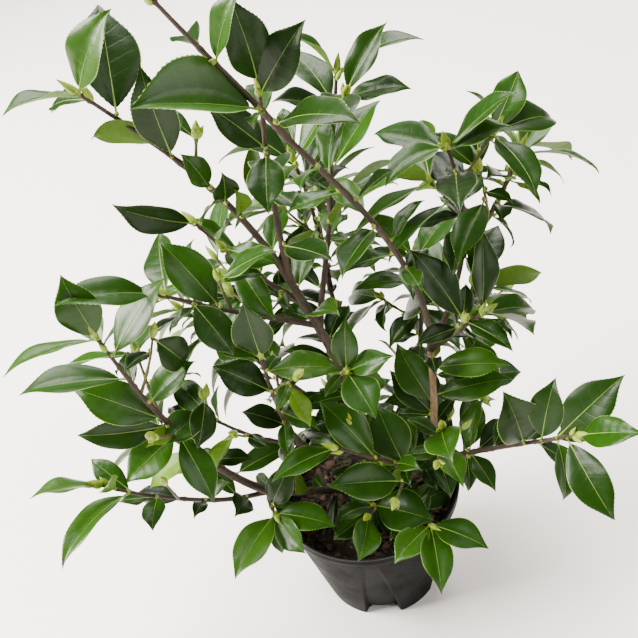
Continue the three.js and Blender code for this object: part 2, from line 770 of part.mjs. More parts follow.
function potSolid() {
  const { rimRadius, height, wall, floor, collarHeight, collarStep, footRadius } = POT;
  const under = height - collarHeight;
  const rows = [...POT.rows, POT.panelTop];
  const profile = [
    [0, 0], [footRadius - 14, 0], [footRadius, 0],
    ...rows.map((z) => [potRadius(z) - collarStep * (z / height), z]),
    [potRadius(under) - collarStep, under],
    [rimRadius - 1.4, under + 1.2], [rimRadius, height - 2.4], [rimRadius - 0.8, height],
    [rimRadius - wall - 0.6, height], [potRadius(under) - collarStep - wall, under - 1],
    ...rows.toReversed().map((z) => [potRadius(z) - collarStep * (z / height) - wall, z]),
    [footRadius - wall, floor], [footRadius - 16, floor], [0, floor],
  ];
  let body = solid(pressPanels(lathed(profile, POT.sides)));
  for (let i = 0; i < POT.panels; i += 1) {
    const bearing = radians(POT.firstPanel + (360 / POT.panels) * i);
    const arch = new THREE.BoxGeometry(26, POT.archReach, POT.archHeight * 2);
    arch.translate(0, -(footRadius - POT.panelDepth + 1), 0);
    arch.rotateZ(bearing);
    body = body.subtract(solid(arch));
  }
  return wholePiece(body);
}

// The growing mix: it fills the pot to a low dome under the rim.
function soilSolid() {
  const foot = POT.floor + POT.archHeight;
  const edge = SOIL.top - SOIL.dome;
  const wall = (z) => potRadius(z) - POT.collarStep * (z / POT.height) - POT.wall;
  const profile = [
    [0, foot], [wall(foot) - 14, foot],
    ...[foot, ...POT.rows].map((z) => [wall(z) - SOIL.slack, z]),
    [wall(edge) - SOIL.clear, edge], [SOIL.crown, SOIL.top], [0, SOIL.top],
  ];
  return wholePiece(solid(pressPanels(lathed(profile, POT.sides))));
}

const finish = (color, roughness) => new THREE.MeshStandardMaterial({ color, roughness, metalness: 0 });
const MATERIALS = {
  pot: finish(0x2b2d2f, 0.5),
  soil: finish(0x3a2a20, 0.95),
  bark: finish(0x6b5848, 0.85),
  leaf: finish(0x2f6a22, 0.35),
};

function named(name, geometry, material) {
  const mesh = new THREE.Mesh(geometry, material);
  mesh.name = name;
  return mesh;
}

const shrub = new THREE.Group();
shrub.add(named('pot', geometryOf(potSolid()), MATERIALS.pot));
shrub.add(named('soil', geometryOf(soilSolid()), MATERIALS.soil));

// Cuts each piece clear of the limbs that already share its joint, then takes the
// space of the piece's own limb.
const joints = [];
function cutClear(body, carrier, limb) {
  let left = body;
  for (const joint of joints) {
    if (joint.limb === carrier || joint.carrier === carrier) left = left.subtract(joint.space);
  }
  joints.push({ limb, carrier, space: solid(skin(barkRings(limb, GAP))) });
  return wholePiece(left);
}

const { limbs, masses } = grow();
const taken = [];
for (const plan of LIMBS) {
  const limb = limbs.get(plan.name);
  const body = cutClear(solid(skin(barkRings(limb))), limbs.get(plan.on), limb);
  taken.push(boxed(body));
  shrub.add(named(plan.name, geometryOf(body), MATERIALS.bark));
}
const woods = masses.map((mass) => boxed(woodOf(mass)));
masses.forEach((mass, i) => {
  const others = [...taken, ...woods.filter((wood) => wood !== woods[i])];
  const whole = massSolid(mass, woods[i].body, others);
  const body = cutClear(whole, limbs.get(mass.plan.on), mass.stem);
  taken.push(boxed(body));
  shrub.add(named(mass.plan.name, geometryOf(body), MATERIALS.leaf));
});

export default shrub;
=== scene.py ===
"""Camellia shrub in its nursery pot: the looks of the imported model.

The plant grows in millimetres and the meshes are in metres, both in the part's own
frame: +Z up, the front of the plant facing -Y, the origin under the middle of the pot.
"""
import logging
from collections.abc import Callable, Iterable, Sequence
from dataclasses import KW_ONLY, dataclass, field, fields
from enum import Enum
from math import copysign, cos, dist, hypot, pi, radians, sin, sqrt, tan, tau
from typing import Any

import bmesh
import bpy
import numpy as np
from mathutils import Matrix, Vector


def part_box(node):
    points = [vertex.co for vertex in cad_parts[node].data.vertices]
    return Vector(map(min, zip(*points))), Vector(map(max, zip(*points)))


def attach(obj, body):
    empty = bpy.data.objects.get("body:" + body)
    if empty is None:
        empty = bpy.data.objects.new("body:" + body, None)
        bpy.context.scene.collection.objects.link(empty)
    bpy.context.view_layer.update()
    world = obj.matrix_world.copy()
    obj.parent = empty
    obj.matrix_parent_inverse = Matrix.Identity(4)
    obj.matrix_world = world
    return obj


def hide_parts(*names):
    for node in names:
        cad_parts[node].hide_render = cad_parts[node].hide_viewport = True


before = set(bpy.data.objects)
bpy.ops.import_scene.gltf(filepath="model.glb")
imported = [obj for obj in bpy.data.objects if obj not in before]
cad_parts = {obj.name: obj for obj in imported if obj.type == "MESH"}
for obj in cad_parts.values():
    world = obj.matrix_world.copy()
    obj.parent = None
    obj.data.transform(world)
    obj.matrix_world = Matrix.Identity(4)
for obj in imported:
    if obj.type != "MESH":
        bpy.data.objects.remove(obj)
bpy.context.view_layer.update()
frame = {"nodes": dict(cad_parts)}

Array = np.ndarray
Luck = np.random.Generator
Material = bpy.types.Material
Pair = tuple[float, float]
Triple = tuple[float, float, float]
Colour = tuple[float, float, float, float]
Pixel = Pair

LOG = logging.getLogger("camellia")
UP = np.array([0.0, 0.0, 1.0])
BODY = "root"
MILLIMETRE = 0.001
# The turn from one leaf, twig or bud scale to the next, in radians.
TURN = 2.4


def tone(code: str) -> Colour:
    """Turn a hex colour into Blender's linear colour.

    Args:
        code: Six hex digits, red first.

    Returns:
        Red, green, blue and an alpha of one.
    """
    shares = [int(code[i : i + 2], 16) / 255 for i in (0, 2, 4)]
    linear = [s / 12.92 if s <= 0.04045 else ((s + 0.055) / 1.055) ** 2.4 for s in shares]
    return (linear[0], linear[1], linear[2], 1.0)


def operator(operation: str, swapped: bool = False) -> Callable[["Wire", "Value"], "Wire"]:
    """Make the method of one arithmetic operator.

    Args:
        operation: The Math node's operation.
        swapped: Whether the other value comes first, as in a reflected form.

    Returns:
        The method, which adds the Math node.
    """

    def method(self: "Wire", other: "Value") -> "Wire":
        """Return the operator's result."""
        pair = (other, self) if swapped else (self, other)
        return self.graph.node("ShaderNodeMath", {"operation": operation}, dict(enumerate(pair)))

    return method


class Wire:
    """A node's output, used in arithmetic. Each operator adds a Math node."""

    def __init__(self, graph: "Graph", socket: bpy.types.NodeSocket) -> None:
        """Keep the output socket and the graph that it belongs to."""
        self.graph = graph
        self.socket = socket

    __add__ = operator("ADD")
    __radd__ = operator("ADD", swapped=True)
    __sub__ = operator("SUBTRACT")
    __rsub__ = operator("SUBTRACT", swapped=True)
    __mul__ = operator("MULTIPLY")
    __rmul__ = operator("MULTIPLY", swapped=True)
    __pow__ = operator("POWER")

    def sine(self) -> "Wire":
        """Return the sine of self."""
        return self.graph.node("ShaderNodeMath", {"operation": "SINE"}, {0: self})


Value = float | Wire
Feed = float | Colour | Triple | Wire


class Graph:
    """The shader nodes of one material."""

    def __init__(self, name: str) -> None:
        """Start a material with no nodes."""
        self.material = bpy.data.materials.new(name)
        self.material.use_nodes = True
        self.tree = self.material.node_tree
        self.tree.nodes.clear()

    @staticmethod
    def _pick(sockets: Any, key: int | str) -> bpy.types.NodeSocket:
        """Find a socket by its index, its identifier or its name."""
        if isinstance(key, int):
            return sockets[key]
        return next((s for s in sockets if s.identifier == key), None) or sockets[key]

    def node(
        self,
        kind: str,
        settings: dict[str, Any] | None = None,
        inputs: dict[int | str, Feed] | None = None,
        output: int | str = 0,
    ) -> Wire:
        """Add a node.

        Args:
            kind: Blender's type name of the node.
            settings: Properties to set first.
            inputs: A value or a wire for each socket that is set.
            output: The output to return.

        Returns:
            The wire from that output.
        """
        node = self.tree.nodes.new(kind)
        for key, value in (settings or {}).items():
            setattr(node, key, value)
        for key, value in (inputs or {}).items():
            socket = self._pick(node.inputs, key)
            if isinstance(value, Wire):
                self.tree.links.new(value.socket, socket)
            else:
                socket.default_value = value
        return Wire(self, self._pick(node.outputs, output))

    def place(self) -> Wire:
        """Return the object coordinates, in metres."""
        return self.node("ShaderNodeTexCoord", output="Object")

    def grain(self) -> Wire:
        """Return the coordinates that run with a limb's bark or a leaf's midrib."""
        return self.node("ShaderNodeAttribute", {"attribute_name": "grain"}, output="Vector")

    def axis(self, vector: Wire, name: str) -> Wire:
        """Return one of a vector's axes, named X, Y or Z."""
        return self.node("ShaderNodeSeparateXYZ", {}, {0: vector}, name)

    def noise(self, where: Wire, scale: float, detail: float = 3.0, rough: float = 0.55) -> Wire:
        """Return noise from 0 to 1, about 0.5."""
        feeds = {"Vector": where, "Scale": scale, "Detail": detail, "Roughness": rough}
        return self.node("ShaderNodeTexNoise", {}, feeds)

    def cells(self, where: Wire, scale: float) -> Wire:
        """Return the distance to the nearest of scattered points."""
        return self.node("ShaderNodeTexVoronoi", {}, {"Vector": where, "Scale": scale})

    def ramp(self, value: Wire, low: float, high: float) -> Wire:
        """Return a value's smooth climb from 0 at low to 1 at high."""
        wire = self.node("ShaderNodeValToRGB", {}, {0: value})
        black, white = wire.socket.node.color_ramp.elements
        black.position = low
        white.position = high
        return wire

    def mix(self, share: Value, first: Feed, second: Feed) -> Wire:
        """Mix two colours: the first at a share of 0, the second at 1."""
        feeds = {"Factor_Float": share, "A_Color": first, "B_Color": second}
        return self.node("ShaderNodeMix", {"data_type": "RGBA"}, feeds, "Result_Color")

    def bump(self, height: Wire, distance: float) -> Wire:
        """Turn a height into a normal, for a relief of so many metres."""
        return self.node("ShaderNodeBump", {}, {"Height": height, "Distance": distance})

    def finish(self, **sockets: Feed) -> Material:
        """End the material in a Principled surface.

        Args:
            sockets: The surface's sockets by name, with _ for a space.

        Returns:
            The finished material.
        """
        feeds = {key.replace("_", " "): value for key, value in sockets.items()}
        surface = self.node("ShaderNodeBsdfPrincipled", {}, feeds)
        end = self.tree.nodes.new("ShaderNodeOutputMaterial")
        self.tree.links.new(surface.socket, end.inputs["Surface"])
        return self.material


@dataclass(frozen=True)
class Finish:
    """A surface finish, known by its name."""

    name: str

    def dress(self, graph: Graph) -> Material:
        """Build the material's nodes."""
        raise NotImplementedError

    def material(self) -> Material:
        """Return the finish's material, made once."""
        return bpy.data.materials.get(self.name) or self.dress(Graph(self.name))


@dataclass(frozen=True)
class LeafFinish(Finish):
    """A leathery leaf surface: paler side veins and soft mottling under a waxy gloss.

    Its grain is the share along the blade, the share across it and a chance of its own.
    """

    green: str
    shade: str
    vein: str
    roughness: float = 0.36
    coat: float = 0.3
    coat_roughness: float = 0.28
    relief: float = 0.00018
    reflection: float = 0.1
    veins: float = 7.5
    slant: float = 0.95
    vein_share: float = 0.15
    mottle_scale: float = 95.0
    skin_scale: float = 1300.0
    cell_scale: float = 900.0

    def dress(self, graph: Graph) -> Material:
        """Build the material's nodes."""
        where = graph.place()
        leaf = graph.grain()
        across = graph.axis(leaf, "Y")
        mottle = graph.noise(where, self.mottle_scale)
        skin = graph.noise(where, self.skin_scale, 2.0)
        cells = graph.cells(where, self.cell_scale)
        phase = graph.axis(leaf, "X") * self.veins - across * self.slant + mottle * 0.3
        veins = graph.ramp((phase * 2 * pi).sine(), 0.8, 1.0) * (1.0 - across) ** 0.6
        share = graph.ramp(mottle * 0.7 + graph.axis(leaf, "Z") * 0.5, 0.35, 0.85)
        blade = graph.mix(share, tone(self.shade), tone(self.green))
        return graph.finish(
            Base_Color=graph.mix(veins * self.vein_share, blade, tone(self.vein)),
            Roughness=self.roughness + 0.14 * mottle - 0.08 * skin,
            Normal=graph.bump(skin * 0.5 + cells * 0.4 - veins * 0.5, self.relief),
            Coat_Weight=self.coat,
            Coat_Roughness=self.coat_roughness,
            Specular_IOR_Level=self.reflection,
        )


@dataclass(frozen=True)
class PlainFinish(Finish):
    """A soft plant surface of one colour with fine speckle."""

    colour: str
    shade: str
    roughness: float = 0.5
    speck_scale: float = 700.0
    relief: float = 0.00025
    coat: float = 0.05

    def dress(self, graph: Graph) -> Material:
        """Build the material's nodes."""
        speck = graph.noise(graph.place(), self.speck_scale)
        return graph.finish(
            Base_Color=graph.mix(graph.ramp(speck, 0.38, 0.66), tone(self.shade), tone(self.colour)),
            Roughness=self.roughness + 0.12 * speck,
            Normal=graph.bump(speck, self.relief),
            Coat_Weight=self.coat,
        )


@dataclass(frozen=True)
class BarkFinish(Finish):
    """Thin bark with streaks and cracks that run along the limb."""

    colour: str
    streak: str
    crack: str
    blush: str
    relief: float = 0.0006
    streak_scale: float = 9.0
    crack_scale: float = 22.0
    blotch_scale: float = 60.0

    def dress(self, graph: Graph) -> Material:
        """Build the material's nodes."""
        along = graph.grain()
        streaks = graph.noise(along, self.streak_scale, 5.0, 0.65)
        cracks = graph.ramp(graph.noise(along, self.crack_scale, 3.0, 0.6), 0.52, 0.68)
        blotch = graph.ramp(graph.noise(graph.place(), self.blotch_scale), 0.45, 0.72)
        base = graph.mix(graph.ramp(streaks, 0.35, 0.68), tone(self.streak), tone(self.colour))
        worn = graph.mix(blotch * 0.55, base, tone(self.blush))
        return graph.finish(
            Base_Color=graph.mix(cracks * 0.75, worn, tone(self.crack)),
            Roughness=0.66 + 0.2 * streaks,
            Normal=graph.bump(streaks - 0.8 * cracks, self.relief),
        )


@dataclass(frozen=True)
class PlasticFinish(Finish):
    """Moulded pot plastic: satin, with a fine orange peel, dust and scuffs."""

    colour: str
    dust: str
    roughness: float = 0.4
    gloss: float = 0.028
    relief: float = 0.0002
    peel_scale: float = 1900.0
    wide_scale: float = 28.0
    fleck_scale: float = 420.0
    dust_share: float = 0.035
    fleck_share: float = 0.06

    def dress(self, graph: Graph) -> Material:
        """Build the material's nodes."""
        where = graph.place()
        peel = graph.noise(where, self.peel_scale, 2.0)
        wide = graph.noise(where, self.wide_scale, 5.0, 0.62)
        dusty = graph.ramp(wide, 0.46, 0.78)
        flecks = graph.ramp(graph.noise(where, self.fleck_scale, 4.0, 0.7), 0.66, 0.76)
        veil = dusty * self.dust_share + flecks * self.fleck_share
        return graph.finish(
            Base_Color=graph.mix(veil, tone(self.colour), tone(self.dust)),
            Roughness=self.roughness + 0.2 * dusty + 0.08 * peel,
            Normal=graph.bump(peel * 0.8 + wide * 0.1, self.relief),
            Specular_IOR_Level=self.gloss,
        )


@dataclass(frozen=True)
class ChipFinish(Finish):
    """A fibrous chip of bark in the growing mix."""

    colour: str
    shade: str
    relief: float = 0.0009
    fibre_scale: float = 520.0
    lump_scale: float = 130.0

    def dress(self, graph: Graph) -> Material:
        """Build the material's nodes."""
        where = graph.place()
        fibre = graph.noise(where, self.fibre_scale, 5.0, 0.7)
        lump = graph.noise(where, self.lump_scale)
        return graph.finish(
            Base_Color=graph.mix(graph.ramp(fibre, 0.35, 0.7), tone(self.shade), tone(self.colour)),
            Roughness=0.82 + 0.14 * lump,
            Normal=graph.bump(fibre + 0.6 * lump, self.relief),
        )


@dataclass(frozen=True)
class FloorFinish(Finish):
    """A plain pale studio floor with the faintest tooth."""

    colour: str
    shade: str
    roughness: float = 0.9
    tooth_scale: float = 60.0
    tooth_share: float = 0.08

    def dress(self, graph: Graph) -> Material:
        """Build the material's nodes."""
        tooth = graph.noise(graph.place(), self.tooth_scale, 4.0)
        warm = graph.mix(tooth * self.tooth_share, tone(self.colour), tone(self.shade))
        return graph.finish(Base_Color=warm, Roughness=self.roughness)


class Age(Enum):
    """How old a leaf looks, from the youngest."""

    YOUNG = 0
    FRESH = 1
    FULL = 2
    DEEP = 3
    OLD = 4


YOUNG, FRESH, FULL, DEEP, OLD = Age

BLADES = {
    YOUNG: LeafFinish("leaf_young", "5c7c14", "4c6e0e", "7a983a", 0.38, 0.1),
    FRESH: LeafFinish("leaf_fresh", "2c4e08", "204204", "3c6816", 0.36, 0.3),
    FULL: LeafFinish("leaf_full", "1f4003", "163302", "29500c", 0.33, 0.2),
    DEEP: LeafFinish("leaf_deep", "152f02", "0e2501", "1c3c09", 0.33, 0.13),
    OLD: LeafFinish("leaf_old", "0e2501", "0a1c01", "143008", 0.34, 0.1),
}
UNDERSIDE = LeafFinish("leaf_underside", "4f6f22", "42601a", "6a883a", 0.55, 0.02)
EDGE = PlainFinish("leaf_edge", "6f8f30", "5c7c24", 0.45)
RIB = PlainFinish("leaf_rib", "6c8c2a", "5a7a20", 0.45)
SCALE = PlainFinish("bud_scale", "88a01c", "6f8c14", 0.42, 900.0)
SCALE_TIP = PlainFinish("bud_scale_tip", "8a7a2c", "705f20", 0.5, 900.0)
BARK_OLD = BarkFinish("bark_old", "382b20", "483a2d", "17100b", "45402f", 0.0008)
BARK_YOUNG = BarkFinish("bark_young", "2e1f13", "3d2b1c", "150c07", "34301a", 0.0006)
BARK_TAN = BarkFinish("bark_tan", "70563e", "8a6f50", "3a291c", "60603a", 0.0006)
BARK_GREEN = BarkFinish("bark_green", "40401a", "504e20", "2c2213", "384a1a", 0.0004)
PLASTIC = PlasticFinish("pot_plastic", "020303", "161917")
# The rim finish is lighter than the wall's in base and dust colour: a painted highlight along the rolled
# rim. Its lower roughness and higher gloss are real.
PLASTIC_RIM_PAINTED_HIGHLIGHT = PlasticFinish("pot_rim", "070908", "2c322d", 0.32, 0.22)
MIX_FINE = ChipFinish("mix_fine", "2a1d15", "170f0a")
CHIPS = (
    ChipFinish("chip_dark", "302118", "1c120c"),
    ChipFinish("chip_brown", "493226", "301f16"),
    ChipFinish("chip_tan", "644b37", "46342a"),
)
FLOOR = FloorFinish("studio_floor", "f1ece8", "d8d0ca")


class Region(Enum):
    """A part of the crown whose leaves are one piece.

    Each has its second flush's step in millimetres, and how much older its leaves look.
    """

    TOP = (45.0, 0.3)
    LEFT = (20.0, 0.0)
    FRONT = (8.0, -0.2)
    RIGHT = (10.0, 0.4)
    BACK_LEFT = (13.0, 0.2)
    BACK_RIGHT = (9.0, 0.2)

    def __init__(self, step: float, years: float) -> None:
        """Keep the region's step and its years."""
        self.step = step
        self.years = years


TOP, NEAR_LEFT, FRONT, NEAR_RIGHT, BACK_LEFT, BACK_RIGHT = Region


@dataclass(frozen=True)
class LimbPlan:
    """The trunk or a bough: what carries it, its tip, its first heading and its girth.

    A tip is a bearing, a reach from the pot's axis and a height, a heading a bearing and a
    rise. Bearings run from the front towards the right, in degrees.
    """

    name: str
    on: str | None
    at: float
    tip: Triple
    go: Pair
    girth: Pair
    pull: float = 0.35


@dataclass(frozen=True)
class MassPlan:
    """A mass of foliage: a leafy stem laid like a limb, its side twigs and its leaves.

    Lengths are in millimetres. The bare share of the stem has no leaves. A leaf hangs by its
    droop and turns to the sky by its face.
    """

    name: str
    on: str
    region: Region
    tip: Triple
    go: Pair
    girth: float
    seed: int
    twigs: int = 2
    bare: float = 0.2
    step: float = 22.0
    twig: float = 42.0
    droop: float = 0.35
    face: float = 1.0
    at: float = 1.0
    leaf: float = 62.0
    pull: float = 0.4


class Way(Enum):
    """The way a leaf's face is turned in the photograph, as shares to the right and up."""

    UP = (0.0, 1.0)
    DOWN = (0.0, -1.0)
    LEFT = (-1.0, 0.0)
    RIGHT = (1.0, 0.0)


LEFT, RIGHT = Way.LEFT, Way.RIGHT


@dataclass(frozen=True)
class LeafPlan:
    """A leaf that stands out in the photograph.

    Its base and tip are in pixels of the photograph's 638 by 638 frame, its length in
    millimetres. Its face looks at the camera and is then turned by so many degrees. It sits
    on its mass's stem or numbered twig. Grown leaves nearer to its base than its seat give way.
    """

    length: float
    turn: float
    age: Age = FULL
    way: Way = Way.UP
    _: KW_ONLY
    base: Pixel
    tip: Pixel
    twig: int = 0
    width: float = 0.47
    fold: float = 15.0
    curl: float = 0.6
    seat: float = 7.0
    tip_near: bool = True


LIMB_PLANS = (
    LimbPlan("trunk", None, 0, tip=(-74, 26, 366), go=(90, 78), girth=(5.2, 3)),
    LimbPlan("bough_left", "trunk", 0.06, tip=(-81, 87, 156), go=(-80, 8), girth=(3.9, 3.2)),
    LimbPlan("bough_mid_left", "trunk", 0.2, tip=(-74, 50, 208), go=(-75, 25), girth=(3, 2.4)),
    LimbPlan("bough_right_foot", "trunk", 0.08, tip=(67, 61, 168), go=(70, 30), girth=(4.2, 3.6)),
    LimbPlan(
        "bough_right", "bough_right_foot", 1, tip=(67, 73, 296), go=(75, 75), girth=(3.1, 2.6), pull=0.3
    ),
    LimbPlan("leader", "bough_right", 1, tip=(-7, 46, 492), go=(60, 84), girth=(2.4, 1.8)),
    LimbPlan("bough_back_left", "trunk", 0.26, tip=(-130, 81, 236), go=(-130, 35), girth=(3, 2.2)),
    LimbPlan("bough_back_right", "trunk", 0.16, tip=(126, 82, 214), go=(120, 35), girth=(3.2, 2.3)),
    LimbPlan("bough_back", "trunk", 0.42, tip=(178, 66, 300), go=(175, 40), girth=(3, 2.1)),
    LimbPlan("bough_high_back", "trunk", 0.78, tip=(160, 40, 392), go=(150, 60), girth=(2.6, 1.9)),
    LimbPlan("bough_high_right", "bough_right", 1, tip=(93, 104, 352), go=(105, 50), girth=(2.4, 1.8)),
)

MASS_PLANS = (
    MassPlan(
        "foliage_upper_left", "trunk", TOP, tip=(-87, 123, 529), go=(-95, 74), girth=2.3, seed=2815,
        twigs=1, bare=0.3, step=24, twig=36, droop=0.2, leaf=67, pull=0.42,
    ),
    MassPlan(
        "foliage_upper_middle", "trunk", TOP, tip=(-53, 21, 516), go=(-20, 86), girth=2.1, seed=3599,
        twigs=0, bare=0.3, step=24, twig=40, droop=0.1, face=0.7, leaf=66,
    ),
    MassPlan(
        "foliage_leader", "leader", TOP, tip=(-53, 76, 584), go=(-60, 60), girth=1.7, seed=507, twigs=0,
        bare=0.1, step=34, twig=38, droop=0.1, leaf=68,
    ),
    MassPlan(
        "foliage_left", "bough_left", NEAR_LEFT, tip=(-74, 166, 378), go=(-70, 52), girth=3, seed=827,
        twigs=5, bare=0.18, step=24, twig=58, face=0.7, leaf=66, pull=0.35,
    ),
    MassPlan(
        "foliage_left_low", "bough_left", NEAR_LEFT, tip=(-74, 208, 250), go=(-72, 14), girth=1.9,
        seed=1893, twigs=1, bare=0.45, step=34, droop=-0.45,
    ),
    MassPlan(
        "foliage_inner_left_low", "bough_mid_left", NEAR_LEFT, tip=(-81, 113, 260), go=(-80, 25), girth=1.6,
        seed=7453, twigs=1, bare=0.3, step=26, twig=40, droop=0, face=0.7,
    ),
    MassPlan(
        "foliage_inner_left", "bough_mid_left", FRONT, tip=(-63, 65, 320), go=(-40, 70), girth=2, seed=6834,
        twig=45, face=0.4,
    ),
    MassPlan(
        "foliage_left_high", "trunk", NEAR_LEFT, tip=(-81, 119, 386), go=(-80, 30), girth=1.9, seed=6500,
        twigs=3, step=24, twig=45, droop=0, at=0.8,
    ),
    MassPlan(
        "foliage_left_high_back", "trunk", NEAR_LEFT, tip=(-105, 87, 412), go=(-110, 35), girth=1.7,
        seed=9601, twigs=1, bare=0.35, twig=40, face=0.15, at=0.9,
    ),
    MassPlan(
        "foliage_middle", "trunk", FRONT, tip=(3, 40, 300), go=(0, 45), girth=1.5, seed=5456, twigs=1,
        bare=0.4, step=18, twig=36, droop=0.1, at=0.58,
    ),
    MassPlan(
        "foliage_right", "bough_right", NEAR_RIGHT, tip=(74, 112, 322), go=(95, 25), girth=1.9, seed=1411,
        droop=0.1,
    ),
    MassPlan(
        "foliage_right_front", "bough_right_foot", NEAR_RIGHT, tip=(45, 91, 248), go=(30, 55), girth=1.8,
        seed=3552, bare=0.3, droop=-0.3,
    ),
    MassPlan(
        "foliage_right_low", "bough_right_foot", NEAR_RIGHT, tip=(56, 184, 255), go=(62, 28), girth=2.1,
        seed=2271, twigs=0, bare=0.36, step=30, twig=40, leaf=68,
    ),
    MassPlan(
        "foliage_front", "bough_right_foot", FRONT, tip=(-18, 56, 236), go=(-20, 35), girth=1.9, seed=4870,
        droop=-0.15,
    ),
    MassPlan(
        "foliage_rim_left", "bough_left", FRONT, tip=(-58, 94, 168), go=(0, 20), girth=1.6, seed=6938,
        twigs=0, bare=0.6, step=20, twig=36,
    ),
    MassPlan(
        "foliage_rim_front", "trunk", FRONT, tip=(-4, 58, 154), go=(10, 25), girth=1.6, seed=7380, twigs=1,
        bare=0.5, step=20, twig=32, droop=0, face=0.4, at=0.05,
    ),
    MassPlan(
        "foliage_rim_right", "trunk", FRONT, tip=(33, 84, 142), go=(35, 12), girth=1.6, seed=4928, twigs=1,
        bare=0.5, step=20, twig=36, droop=0.2, at=0.03,
    ),
    MassPlan(
        "foliage_back_left", "bough_back_left", BACK_LEFT, tip=(-123, 153, 300), go=(-125, 35), girth=2.1,
        seed=6824, twigs=3, twig=55, face=0.7,
    ),
    MassPlan(
        "foliage_back_left_up", "bough_back_left", BACK_LEFT, tip=(-138, 95, 350), go=(-150, 75), girth=2,
        seed=1672, bare=0.25, twig=50, droop=-0.3, face=0.15,
    ),
    MassPlan(
        "foliage_back_right", "bough_back_right", BACK_RIGHT, tip=(119, 160, 262), go=(120, 30), girth=2.1,
        seed=5543, twigs=3, twig=55, droop=0.1, face=0.15,
    ),
    MassPlan(
        "foliage_back_right_up", "bough_back_right", BACK_RIGHT, tip=(129, 98, 320), go=(130, 70), girth=2,
        seed=772, bare=0.25, twig=50, face=0.15,
    ),
    MassPlan(
        "foliage_back", "bough_back", BACK_LEFT, tip=(177, 140, 352), go=(180, 30), girth=2, seed=7358,
        twigs=3, twig=55, droop=0,
    ),
    MassPlan(
        "foliage_back_up", "bough_back", BACK_LEFT, tip=(-175, 74, 420), go=(170, 70), girth=1.9, seed=7069,
        bare=0.25, twig=50, droop=0.2, face=0.7,
    ),
    MassPlan(
        "foliage_high_back", "bough_high_back", TOP, tip=(142, 56, 492), go=(150, 70), girth=1.8, seed=829,
        bare=0.25, twig=50, droop=-0.45,
    ),
    MassPlan(
        "foliage_high_right", "bough_high_right", NEAR_RIGHT, tip=(96, 151, 420), go=(95, 45), girth=1.7,
        seed=7310, twig=50, face=0.4,
    ),
    MassPlan(
        "foliage_high_right_up", "bough_high_right", NEAR_RIGHT, tip=(88, 96, 446), go=(60, 80), girth=1.7,
        seed=7508, bare=0.25, twig=45, face=0.7,
    ),
    MassPlan(
        "foliage_low_back", "trunk", BACK_LEFT, tip=(-168, 94, 168), go=(185, 18), girth=1.9, seed=2717,
        bare=0.45, twig=45, droop=-0.3, face=0.4, at=0.1,
    ),
    MassPlan(
        "foliage_low_right", "bough_back_right", BACK_RIGHT, tip=(95, 112, 200), go=(95, 5), girth=1.8,
        seed=17, bare=0.3, droop=-0.45,
    ),
)

